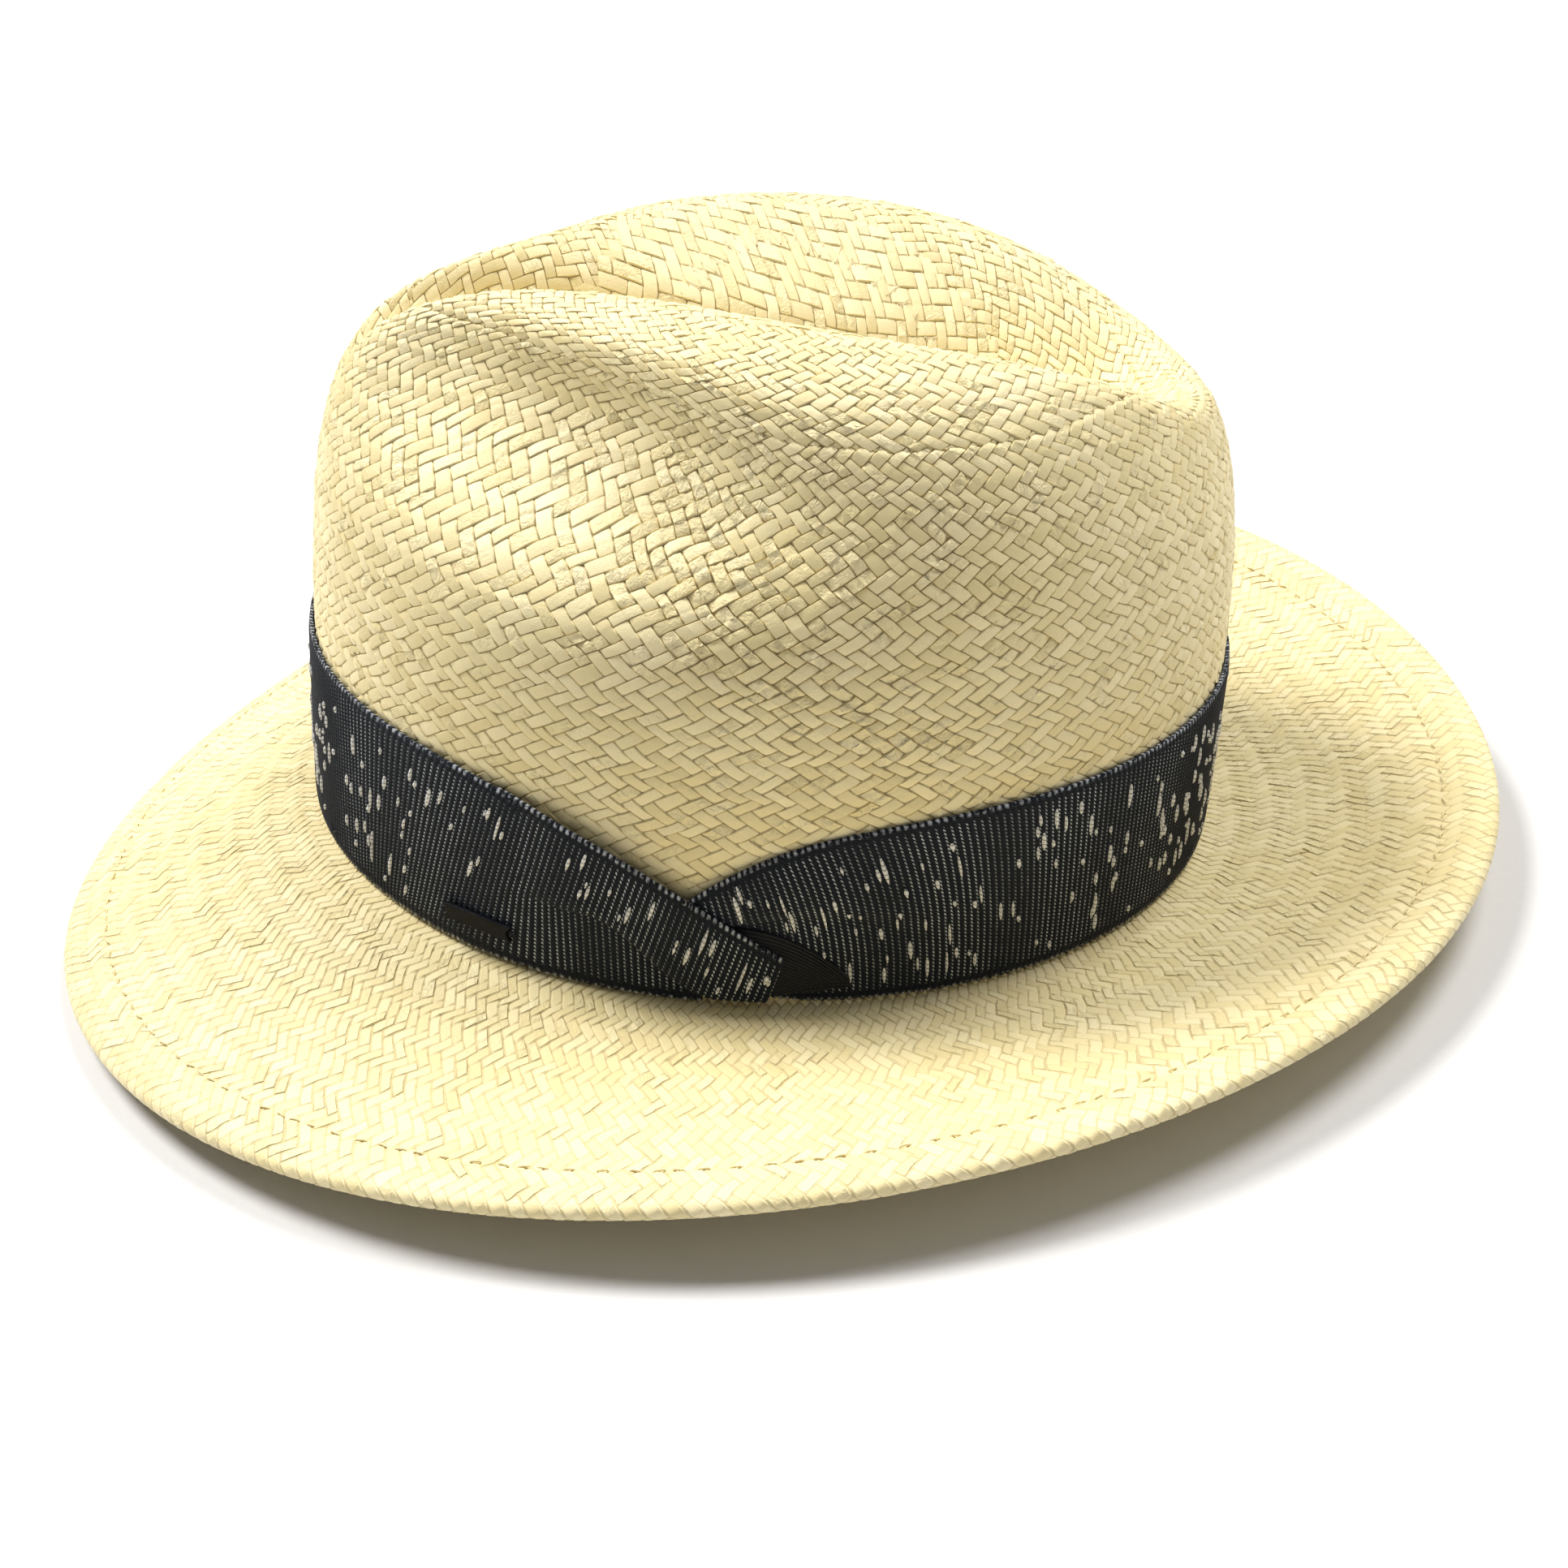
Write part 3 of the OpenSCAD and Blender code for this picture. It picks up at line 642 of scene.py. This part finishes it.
def wire_material():
    """Drawn steel with fine marks along it."""
    m = Nodes("drawn_wire", Metallic=1.0)
    marks = m.noise(2400, 3, 1.2)
    colour = m.mix(m.span(marks, 0.35, 0.65), (0.50, 0.51, 0.53, 1), (0.66, 0.67, 0.69, 1))
    return m.finish(colour, m.span(marks, 0.3, 0.7, 0.25, 0.45), marks, 0.00005)


# ---------- straw body ----------

STRAW = straw_material()
CROWN_STRANDS, CROWN_RATE = 138, 0.34
BRIM_STRANDS, BRIM_RATE = 284, 0.237
SHOULDER_V = 95.0  # where the crown's wall piece ends and its top piece starts
TIP_STRANDS = 108  # there are fewer straws round the top
CELL, CELL_INSIDE = 2.75, 3.2  # width of the square weave's cells
RELIEF, SOFT_RELIEF, BRIM_RELIEF = 0.62, 0.4, 0.38
INSIDE_RATE, UNDER_RATE = 0.2, 0.24


def even(w):
    """The nearest even number of pairs of rows, after which the twill repeats."""
    return round(w / 2) * 2


def off_band(av):
    """Marks what the ribbon leaves in sight of the crown."""
    turn = np.degrees(av[:, 0]) % 360
    return (av[:, 1] > 40) | ((turn > 28) & (turn < 122))


def straw_body():
    w_mid = even(SHOULDER_V * CROWN_RATE)
    wall_part = ring_weave(crown, CROWN_STRANDS, 2, w_mid, CROWN_RATE, RELIEF, joins=1, keep=off_band)
    add_straw("straw_crown_wall", [wall_part])

    w_step, w_top = w_mid + 8, w_mid + 20
    add_straw("straw_crown_top", [
        ring_weave(crown, CROWN_STRANDS, w_mid, w_step + 1, CROWN_RATE, RELIEF, tuck=(0, 0.6)),
        ring_weave(crown, TIP_STRANDS, w_step, w_top + 1, CROWN_RATE, RELIEF, tuck=(0.5, 0.6)),
        flat_weave(crown_top, CELL, RELIEF)])

    back = {"steps": COARSE, "side": -1, "lift": STRAW_T}
    add_straw("straw_crown_inside", [
        ring_weave(crown, 100, 6, 29, INSIDE_RATE, SOFT_RELIEF, tuck=(0, 0.4), **back),
        ring_weave(crown, 80, 28, 32.5, INSIDE_RATE, SOFT_RELIEF, tuck=(0.4, 0.4), **back),
        flat_weave(crown_top, CELL_INSIDE, SOFT_RELIEF, **back)])

    w_roll, w_end = 14, even((BRIM_TOP + ROLL_ARC + HEM_W - ROLL_R) * BRIM_RATE)
    piece = add_straw("straw_brim", [
        ring_weave(brim_skin, BRIM_STRANDS, -2, w_roll, BRIM_RATE, BRIM_RELIEF, COARSE, side=-1, joins=1),
        ring_weave(brim_skin, BRIM_STRANDS, w_roll, w_end, BRIM_RATE, BRIM_RELIEF, ROUND, side=-1)])
    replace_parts(piece, "straw_body")

    w_end = even((BRIM_W - HEM_W + 2) * UNDER_RATE)
    under = ring_weave(under_skin, 150, -6, w_end, UNDER_RATE, SOFT_RELIEF, COARSE)
    add_straw("straw_brim_underside", [under])


# ---------- threads and thin slabs ----------

def add_threads(name, runs, radius, material, sides=6, twist=0.2):
    """Round two-ply threads along runs of points, as one piece. twist is in turns from point to point."""
    points, quads, first = [], [], 0
    for run in runs:
        run = np.asarray(run, float)
        ahead = unit(np.gradient(run, axis=0))
        across = unit(np.cross(ahead, (0.31, 0.22, 0.93)))  # a direction that no thread takes
        above = np.cross(across, ahead)
        k, m = np.arange(len(run))[:, None], np.arange(sides)[None, :]
        turn = FULL * m / sides
        r = radius * (1 + 0.14 * np.cos(2 * turn + FULL * twist * k))
        r = r * np.where((k == 0) | (k == len(run) - 1), 0.3, 1)
        ring = run[:, None] + r[..., None] * (np.cos(turn)[..., None] * across[:, None]
                                              + np.sin(turn)[..., None] * above[:, None])
        points.append(ring.reshape(-1, 3))
        number = first + np.arange(len(run) * sides).reshape(-1, sides)
        quads.append(grid_quads(np.pad(number, ((0, 0), (0, 1)), mode="wrap").T))
        first += len(run) * sides
    return add_piece(name, np.concatenate(points), np.concatenate(quads), material)


def slab(front, back):
    """Closed thin sheet between two grids of points."""
    f = np.arange(front[..., 0].size).reshape(front.shape[:2])
    rim = np.concatenate([f[:, 0], f[-1, 1:], f[-2::-1, -1], f[0, -2::-1]])
    sheets = [grid_quads(f.T), grid_quads(f + f.size), grid_quads(np.stack([rim, rim + f.size], 1))]
    return np.concatenate([front.reshape(-1, 3), back.reshape(-1, 3)]), np.concatenate(sheets)


def loop_band(section):
    """Ring that closes both ways, from an array of angles by section points."""
    number = np.arange(section[..., 0].size).reshape(section.shape[:2])
    return section.reshape(-1, 3), grid_quads(np.pad(number, 1, mode="wrap")[1:, 1:])


def twice(values):
    """A layer for both faces of a slab."""
    return np.concatenate([values.reshape(-1, 3)] * 2)


# ---------- hatband ----------

TURNS = np.radians(np.arange(0, 541, 0.5))
SPAN = run_length(wall(TURNS, 20 + 0 * TURNS, 1.0))  # half way up the ribbon and just outside the straw
RIB = 1.4  # distance from rib to rib
RIB_LINES = np.array([0, 0.2, 0.5, 0.8])
# the top edge falls to the knot at the ribbon's front end and at its start: how far, how softly, how near
FRONT_FALL, FRONT_SOFT, FRONT_NEAR = 8.5, 8, 23
START_FALL, START_SOFT, START_NEAR = 17, 11.3, 7.4
FOLD_LEAN, FOLD_PIVOT, START_LEAN = 0.15, 14, 7.5  # lean of the fold's ribs and its pivot, and at the start
PLEAT_Z, PLEAT_OUT = 20, 1.3


def span_at(turn):
    """Distance round the hat, in millimetres, to an angle in degrees."""
    return np.interp(turn, np.degrees(TURNS), SPAN)


RIBBON_START = span_at(KNOT - 10)


def rib_at(turn):
    """Number of the ribbon's rib at an angle in degrees."""
    return (span_at(turn) - RIBBON_START) / RIB


def turn_of(rib):
    """Angle in degrees of a rib of the ribbon."""
    return np.interp(RIBBON_START + rib * RIB, SPAN, np.degrees(TURNS))


def ribbon_top(turn):
    """Top edge of the ribbon. Its front end comes to the knot at angles over 360."""
    front = BAND_H - FRONT_FALL * np.log(1 + np.exp((turn - 360 - KNOT + FRONT_NEAR) / FRONT_SOFT))
    start = BAND_H - START_FALL * np.exp(np.minimum((KNOT - START_NEAR - turn) / START_SOFT, 1))
    return np.where(turn > 360, front, start)


def ribbon_low(turn):
    """Lower edge of the ribbon, drawn up where the wrap gathers its start."""
    return np.where(turn > 360, 1.0, 1 + 5 * (1 - blend(turn, KNOT - 14, KNOT + 8)))


def rib_lean(turn, z):
    """How far a rib is turned, in degrees, at height z: both ends lean towards the knot."""
    near = turn - 360
    return np.where(near > 0, 3.4 * blend(near, 50, 62) * np.maximum(0, 1 - z / 18)
                    + FOLD_LEAN * blend(near, 26, 44) * (z - FOLD_PIVOT),
                    -START_LEAN * (1 - blend(turn, KNOT, KNOT + 51)) * (z / BAND_H) ** 2)


def ribbon_place(rib, t):
    """Angle, height and distance out of a point t up a rib of the ribbon."""
    turn = turn_of(rib)
    near = turn - 360
    low, high = ribbon_low(turn), ribbon_top(turn + rib_lean(turn, ribbon_top(turn)))
    high = high - 2.4 * blend(near, KNOT - 34, KNOT - 28)
    z = low + (high - low) * t
    out = BAND_GAP + BAND_T + np.where(near > 0, (BAND_T + 0.4) * blend(near, KNOT - 50, KNOT - 22), 0)
    # the gathered start lies in one soft pleat
    fade = (1 - blend(turn, KNOT + 6, KNOT + 28)) * (near < 0)
    over = z - (PLEAT_Z + 2.5 * np.sin((turn - KNOT) / 5))
    pleat = PLEAT_OUT * blend(over, -1.2, 0.8) * (1 - blend(over, 3, 16)) - 0.3 * blend(over, -9, -2)
    out = out + fade * pleat
    return np.radians(turn + rib_lean(turn, z)), z, out


FOLD_RIBS = 48
FOLD_FROM = KNOT - 34
RIBBON_RIBS, FOLD_FIRST = int(rib_at(KNOT + 353)), int(rib_at(360 + FOLD_FROM))


def fold_place(rib, t):
    """The same for the front fold, which carries the ribbon's ribs on."""
    turn = turn_of(FOLD_FIRST + rib) - 360
    low = 2.2 + 16 * (1 - blend(turn - 1.8, KNOT - 22, KNOT - 4))
    high = ribbon_top(turn + 363) - 0.2
    z = low + (high - low) * t
    turn = turn + FOLD_LEAN * (z - FOLD_PIVOT)
    c = rib / FOLD_RIBS
    under = ribbon_place(rib_at(turn + 360), 0.5)[2]
    swell = 0.5 * np.sin(math.pi * t) * blend(c, 0.25, 0.8)
    swell = swell + 0.35 * np.exp(-(((t - 0.12) / 0.1) ** 2)) * blend(c, 0.1, 0.4)
    out = under - 0.5 + 1.45 * blend(turn, FOLD_FROM + 3, FOLD_FROM + 14) + swell
    return np.radians(turn), z, out


def ribbed(place, ribs, rows, folded=False):
    """Grid of ribbed ribbon with looped edges that turn in towards the hat, and its layer.

    The lower edge of a folded ribbon is a fold, without a selvedge."""
    rib = np.append((np.arange(ribs)[:, None] + RIB_LINES).ravel(), ribs)
    inner = np.linspace(0, 1, rows)
    t = np.concatenate([[0, 0, 0.018], inner[1:-1], [0.982, 1, 1]])
    turned = np.concatenate([[0.9, 0.15, 0], 0 * inner[1:-1], [0, 0.15, 0.9]])
    rib, t, turned = np.broadcast_arrays(rib[:, None], t, turned)
    a, z, out = place(rib, t)
    width = place(rib, 0 * t + 1)[1] - place(rib, 0 * t)[1]
    edge = (1 - t if folded else np.minimum(t, 1 - t)) * width
    ridge = np.sin(math.pi * (rib % 1))
    z = z + 0.4 * ridge * ((edge < 0.01) & (turned < 0.5)) * np.where(t < 0.5, -1, 1)
    out = out + (0.10 + 0.14 * blend(edge, 0.8, 2.2)) * (2 * ridge - 1) - turned
    quads = grid_quads(np.arange(t.size).reshape(t.shape))
    return wall(a, z, out).reshape(-1, 3), quads, np.stack([rib, t * width, edge], -1).reshape(-1, 3)


def slubs(place, ribs, count, rng, covered):
    """Thick places of the yarn, each along its rib, with a layer of the way along and brightness.

    covered tells, from the angle and the share of the width, where there is none."""
    points, quads, layers = [], [], []
    steps, over = 8, 5
    u, w = np.meshgrid(np.linspace(0, 1, steps), np.linspace(-1, 1, over), indexing="ij")
    face = grid_quads(np.arange(steps * over).reshape(steps, over).T)
    for _ in range(count):
        rib, t = rng.integers(1, ribs - 1) + 0.5 + 0.5 * rng.integers(0, 2), rng.uniform(0.07, 0.84)
        half = rng.uniform(0.28, 0.5) / RIB
        length, bright, phase = 1.5 + 4.5 * rng.random() ** 2, rng.uniform(0.35, 1), rng.random()
        turn, zs, _ = place(np.array([rib, rib]), np.array([0.0, 1.0]))
        if covered(math.degrees(turn[0]), t) or rng.uniform(0, BAND_H) > zs[1] - zs[0]:
            continue
        share = length / max(zs[1] - zs[0], 8)
        body = np.sin(math.pi * np.clip(u, 0.04, 0.96)) ** 0.45
        body = body * (0.82 + 0.18 * np.abs(np.sin(math.pi * (u * length + phase) / SLUB_WRAP)))
        a, z, out = place(rib + w * half * body, np.clip(t + u * share, 0.04, 0.96))
        out = out + 0.16 + 0.5 * body * np.sqrt(1 - 0.9 * w**2) - 0.2 * (np.abs(w) == 1)
        points.append(wall(a, z, out).reshape(-1, 3))
        quads.append(face + len(quads) * steps * over)
        layers.append(np.stack([u * length + phase, 0 * u, bright + 0 * u], -1).reshape(-1, 3))
    return np.concatenate(points), np.concatenate(quads)[:, ::-1], np.concatenate(layers)


def stitch(a, z, out, half, rise, turn=0.0):
    """Points of one stitch that comes up, runs along and goes down again, at an angle of turn to the band."""
    t = np.linspace(-1, 1, 7)
    along = half * t
    reach = along * math.cos(turn) / 100  # near enough the wall's radius
    return wall(a + reach, z + along * math.sin(turn), out + rise * (1 - np.abs(t) ** 3) - 0.15)


def ribbon_with_slubs(name, slub_name, place, ribs, rows, count, covered, looks, rng, folded=False):
    """Ribbed ribbon and, as a piece of their own, its slubs."""
    points, quads, layer = ribbed(place, ribs, rows, folded)
    ribbon = add_piece(name, points, quads, looks[0], layers={"ribbon": layer})
    points, quads, layer = slubs(place, ribs, count, rng, covered)
    return ribbon, add_piece(slub_name, points, quads, looks[1], layers={"slub": layer})


def under_badge_or_fold(deg, t):
    return (t < 0.4 and abs(deg - 360 - BADGE_A) < 10) or (t > 0.1 and deg > 360 + FOLD_FROM)


def fold_start(deg, t):
    return deg < FOLD_FROM + 9


def hatband():
    rng = np.random.default_rng(5)
    looks = ribbon_material(), slub_material()
    ribbon, dots = ribbon_with_slubs("ribbon", "ribbon_slubs", ribbon_place, RIBBON_RIBS, 24, 600,
                                     under_badge_or_fold, looks, rng)
    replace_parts(ribbon, "hatband_ribbon")

    fold, dots = ribbon_with_slubs("ribbon_front_fold", "front_fold_slubs", fold_place, FOLD_RIBS, 16, 64,
                                   fold_start, looks, rng, folded=True)
    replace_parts(fold, "hatband_front_fold")


def wrap():
    """Grosgrain over both ends, with fine ribs that run along its upper edge."""
    c, t = np.meshgrid(np.linspace(0, 1, 27), np.linspace(0, 1, 64), indexing="ij")
    turn = KNOT - 2.5 + 13 * c
    low, high = 1.4 + 3 * c, 18.5 - 12.5 * c * c
    z = low + (high - low) * t
    below = high - z
    swell = 0.5 * np.sin(math.pi * t) * (1 - c)
    out = BAND_GAP + BAND_T + 0.62 + swell + 0.12 * np.sin(FULL * below / FINE_RIB)
    edge = blend(np.minimum(t, 1 - t), 0, 0.03) * blend(c, 1, 0.95)
    front = wall(np.radians(turn), z, out - 0.3 * (1 - edge))
    back = wall(np.radians(turn), z, 0 * z + BAND_GAP + BAND_T - 0.25)
    points, quads = slab(front, back)
    layer = twice(np.stack([turn / 60, below / CLOTH_UNIT, 0 * z], -1))
    piece = add_piece("grosgrain_wrap", points, quads[:, ::-1], grosgrain_material(),
                      layers={"cloth": layer})
    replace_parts(piece, "hatband_wrap")


def tacks(dark):
    """Crossed pairs of stitches that hold the ribbon's lower edge."""
    face = BAND_GAP + BAND_T + 0.25
    runs = [stitch(math.radians(deg) + 0.012 * k, 4.0 + 0.25 * k, face, 1.4, 0.35, 0.5 * k)
            for deg in (20, 150, 180, 210, 270, 330) for k in (-1, 1)]
    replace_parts(add_threads("ribbon_tacks", runs, 0.18, dark), "hatband_tacks")


def badge(dark):
    """Plain dark bar with a crescent cut into each end, sewn on through the crescents."""
    cut, half, tall, bite = BADGE_H * 0.42, BADGE_LEN / 2, BADGE_H / 2, 0.35
    reach = math.acos(bite)
    arc = np.linspace(-reach, reach, 13)
    end = np.stack([half + cut * bite - cut * np.cos(arc), cut * np.sin(arc)], -1)
    right = [(half, -tall)] + [tuple(p) for p in end if p[0] < half] + [(half, tall)]
    outline = np.array(right + [(-x, -y) for x, y in right])
    n = len(outline)

    # the outline is repeated up the bar, and moved inwards where its edge is rounded
    way = unit(unit(np.roll(outline, -1, axis=0) - outline) + unit(outline - np.roll(outline, 1, axis=0)))
    inward = np.stack([-way[:, 1], way[:, 0]], -1)
    rings = [(0.0, 0.0), (0.0, BADGE_T - 0.28), (0.1, BADGE_T - 0.08), (0.28, BADGE_T)]
    points = np.concatenate([np.column_stack([outline + by * inward, np.full(n, h)]) for by, h in rings])
    number = np.pad(np.arange(len(points)).reshape(-1, n), ((0, 0), (0, 1)), mode="wrap")
    caps = [list(range(n))[::-1], list(range(len(points) - n, len(points)))]

    a = np.array(math.radians(BADGE_A))
    out = wall_n(a)
    axes = np.array([[-out[1], out[0], 0], [0, 0, 1], [out[0], out[1], 0]])
    base = wall(a, np.array(BADGE_Z), ribbon_place(rib_at(360 + BADGE_A), np.array(0.15))[2] + 0.3)
    bar = add_piece("badge_bar", points @ axes + base, grid_quads(number.T).tolist() + caps, paint_material(),
                    smooth=False)
    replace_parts(bar, "badge")

    t = np.linspace(-1, 1, 9)
    runs = [np.stack([side * (half + 0.1) + 0.9 * t, k + 0.1 * t, 0.55 * (1 - t**4) - 0.1], -1) @ axes + base
            for side in (-1, 1) for k in (-0.5, 0.0, 0.5)]
    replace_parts(add_threads("badge_thread", runs, 0.17, dark), "badge_stitches")


# ---------- hem, sweatband and label ----------

HEM_STITCHES, HEM_STITCH_HALF = 196, 0.0078  # their number, and half of one as an angle
BAND_STITCHES = 150
TAPE_A = math.radians(168)
TAPE_HALF, TAPE_LEN = 5.0, 26.0


def hem_stitches():
    runs = []
    t = np.linspace(-1, 1, 7)
    for k in range(HEM_STITCHES):
        a = FULL * (k + 0.25 * math.sin(5.1 * k)) / HEM_STITCHES + t * HEM_STITCH_HALF
        skew = 0.25 * math.sin(3.7 * k)
        runs.append(brim(a, brim_run(a) - STITCH_IN + skew * t, 0.02 + 0.3 * (1 - t**4)))
    pale = thread_material("hem_thread", (0.76, 0.65, 0.36, 1), (0.92, 0.82, 0.52, 1), 0.4)
    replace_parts(add_threads("hem_stitches", runs, 0.24, pale), "hem_stitching")


def sweatband(dark):
    """Cloth band round the reed, and the stitches that hold it to the straw."""
    # its section, as distance out and height: up the back, down the face, round the reed
    section = np.array([(-1.62, 0.7), (-1.62, 8), (-1.62, 18), (-1.62, 31), (-1.72, 32.6), (-2.05, 33.1),
                        (-2.4, 32.7), (-2.55, 31), (-2.75, 22), (-2.8, 13), (-2.66, 6), (-2.6, 3.7),
                        (-2.42, 3.0), (-2.6, 2.2), (-3.0, 1.0), (-3.32, 0.2), (-3.3, -0.5), (-2.9, -1.0),
                        (-2.3, -1.12), (-1.7, -0.85), (-1.45, -0.2)])
    a = np.linspace(0, FULL, 240, endpoint=False)[:, None]
    out, z = section[:, 0] + 0 * a, section[:, 1] + 0 * a
    inner = (out < -2.3) & (z > 4)
    bulge = (np.sin(14 * a + z / 9) * 0.5 + 0.5) * np.sin(math.pi * np.clip((z - 4) / 29, 0, 1))
    points, quads = loop_band(wall(a + 0 * z, z, out - 0.25 * inner * bulge))
    layer = np.stack([a * RADIUS / CLOTH_UNIT + 0 * z, z / CLOTH_UNIT, 0 * z], -1).reshape(-1, 3)
    twill = weave_material("sweatband_twill", (0.020, 0.022, 0.034, 1), (0.062, 0.066, 0.09, 1), 0.9, 1.0)
    band = add_piece("sweatband_cloth", points, quads, twill, layers={"cloth": layer})
    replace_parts(band, "sweatband")

    runs = [stitch(FULL * k / BAND_STITCHES, 3.0, -SWEAT_FACE - 0.1, 1.3, -0.28)
            for k in range(BAND_STITCHES)]
    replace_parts(add_threads("sweatband_stitches", runs, 0.2, dark), "sweatband_stitching")


def seam_tape():
    c, t = np.meshgrid(np.linspace(-1, 1, 19), np.linspace(0, 1, 40), indexing="ij")
    a, z = TAPE_A + TAPE_HALF * c / RADIUS, 5.5 + TAPE_LEN * t
    out = -SWEAT_FACE - 0.95 - 0.12 * np.sin(9 * t + c) + 0.2 * c**4
    points, quads = slab(wall(a, z, out - 0.2), wall(a, z, out + 0.2))
    layer = twice(np.stack([TAPE_HALF * c / CLOTH_UNIT, z / CLOTH_UNIT, 0 * z], -1))
    tape_cloth = weave_material("tape_cloth", (0.03, 0.032, 0.045, 1), (0.085, 0.09, 0.12, 1), 0.6, 0.0)
    tape = add_piece("seam_tape", points, quads[:, ::-1], tape_cloth, layers={"cloth": layer})
    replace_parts(tape, "sweatband_seam_tape")


def label():
    white = thread_material("label_thread", (0.55, 0.55, 0.53, 1), (0.80, 0.80, 0.77, 1), 0.3)
    x = np.linspace(-LABEL_W / 2 - 1.2, LABEL_W / 2 + 1.2, 61)
    ends = np.clip((np.abs(x) - LABEL_W / 2) / 1.2, 0, 1)
    run = np.stack([x, LABEL_Y + 0.9 * ends**2, LABEL_Z + 0 * x], -1)
    thread = add_threads("label_cord", [run], 0.25, white, sides=10, twist=0.11)
    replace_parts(thread, "label_thread")

    # the label's section: a hem round the thread, and one flat layer that hangs from it
    turn = np.radians(np.linspace(-70, 250, 21))
    tail = np.linspace(0.75, LABEL_LEN, 24)
    hang = 0.16 * np.sin(tail / 4.2)
    x = np.linspace(-LABEL_W / 2, LABEL_W / 2, 31)[:, None]
    faces = []
    for radius, apart in ((0.72, -0.17), (0.38, 0.17)):
        y = np.concatenate([radius * np.cos(turn), apart + hang])
        z = np.concatenate([radius * np.sin(turn), -tail])
        bow = 0.10 * np.cos(math.pi * x / LABEL_W) * np.clip(-z / LABEL_LEN, 0, 1)
        faces.append(np.stack([x + 0 * y, LABEL_Y + y + bow, LABEL_Z + z + 0 * x], -1))
    points, quads = slab(*faces)
    along = run_length(faces[0][0])
    layer = np.stack([x / CLOTH_UNIT + 0 * along, along / CLOTH_UNIT + 0 * x, 0 * x + 0 * along], -1)
    satin = weave_material("label_satin", (0.66, 0.66, 0.63, 1), (0.84, 0.84, 0.81, 1), 0.5, 0.0)
    tag = add_piece("blank_label", points, quads, satin, "size_label",
                    layers={"cloth": twice(layer)})
    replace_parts(tag, "size_label")


dark_thread = thread_material("dark_thread", (0.006, 0.007, 0.010, 1), (0.03, 0.033, 0.045, 1), 0.3)
straw_body()
hem_stitches()
hatband()
wrap()
tacks(dark_thread)
badge(dark_thread)
sweatband(dark_thread)
seam_tape()
label()

# the wire and the reed are the CAD model's own
reed_plastic = thread_material("reed_plastic", (0.05, 0.05, 0.06, 1), (0.08, 0.08, 0.10, 1), 1.5, 0.45)
for node, material in (("brim_wire", wire_material()), ("sweatband_reed", reed_plastic)):
    bpy.data.objects[node].material_slots[0].material = material


# ---------- camera, light and floor ----------

AZIMUTH, ELEVATION, ROLL = (math.radians(deg) for deg in (82.03, 32.17, 3.65))
AIM_Z = 40  # height in the crown from which the camera's place is taken
CAMERA_RIGHT, CAMERA_DOWN, CAMERA_BACK = 4.64, 38.03, 477.5
LENS, SENSOR = 47.8, 36.0
FLOOR_HALF = 6.0  # metres, as are the lights' places and sizes


def place_camera():
    """Looks at the hat from its left side, a little under half a metre away."""
    level = math.cos(ELEVATION)
    back = Vector((math.sin(AZIMUTH) * level, -math.cos(AZIMUTH) * level, math.sin(ELEVATION)))
    right = (-back).cross(Vector((0, 0, 1))).normalized()
    up = right.cross(-back)
    across = math.cos(ROLL) * right + math.sin(ROLL) * up
    above = math.cos(ROLL) * up - math.sin(ROLL) * right
    place = Vector((0, 0, AIM_Z)) + CAMERA_RIGHT * right - CAMERA_DOWN * up + CAMERA_BACK * back
    axes = Matrix((across, above, back)).transposed()
    data = bpy.data.cameras.new("camera")
    data.lens = LENS
    data.sensor_width = SENSOR
    camera = bpy.data.objects.new("camera", data)
    camera.matrix_world = Matrix.Translation(POSE @ place) @ (TURN.to_3x3() @ axes).to_4x4()
    bpy.context.scene.collection.objects.link(camera)
    bpy.context.scene.camera = camera


def add_light(name, place, target, size, power, colour):
    data = bpy.data.lights.new(name, "AREA")
    data.shape = "DISK"
    data.size = size
    data.energy = power
    data.color = colour
    light = bpy.data.objects.new(name, data)
    light.location = place
    light.rotation_euler = (Vector(target) - Vector(place)).to_track_quat("-Z", "Y").to_euler()
    bpy.context.scene.collection.objects.link(light)


def studio():
    hat = (0, 0, 0.06)
    add_light("front_key", (-0.80, -1.25, 2.3), hat, size=1.1, power=86, colour=(1, 0.985, 0.95))
    add_light("back_key", (-0.60, 1.20, 2.4), hat, size=1.2, power=57, colour=(1, 0.985, 0.96))
    world_light = bpy.data.worlds.new("studio")
    world_light.use_nodes = True
    background = world_light.node_tree.nodes["Background"]
    background.inputs["Color"].default_value = (1, 0.98, 0.95, 1)
    background.inputs["Strength"].default_value = 0.24
    bpy.context.scene.world = world_light
    bpy.context.scene.view_settings.view_transform = "Standard"
    mesh = bpy.data.meshes.new("floor")
    corners = [(x * FLOOR_HALF, y * FLOOR_HALF, 0) for x, y in ((-1, -1), (1, -1), (1, 1), (-1, 1))]
    mesh.from_pydata(corners, [], [(0, 1, 2, 3)])
    floor = bpy.data.objects.new("floor", mesh)
    bpy.context.scene.collection.objects.link(floor)
    m = Nodes("floor_paper")
    floor.data.materials.append(m.finish((0.74, 0.74, 0.75, 1), 0.7, m.noise(300, 2), 0.0001))


place_camera()
studio()
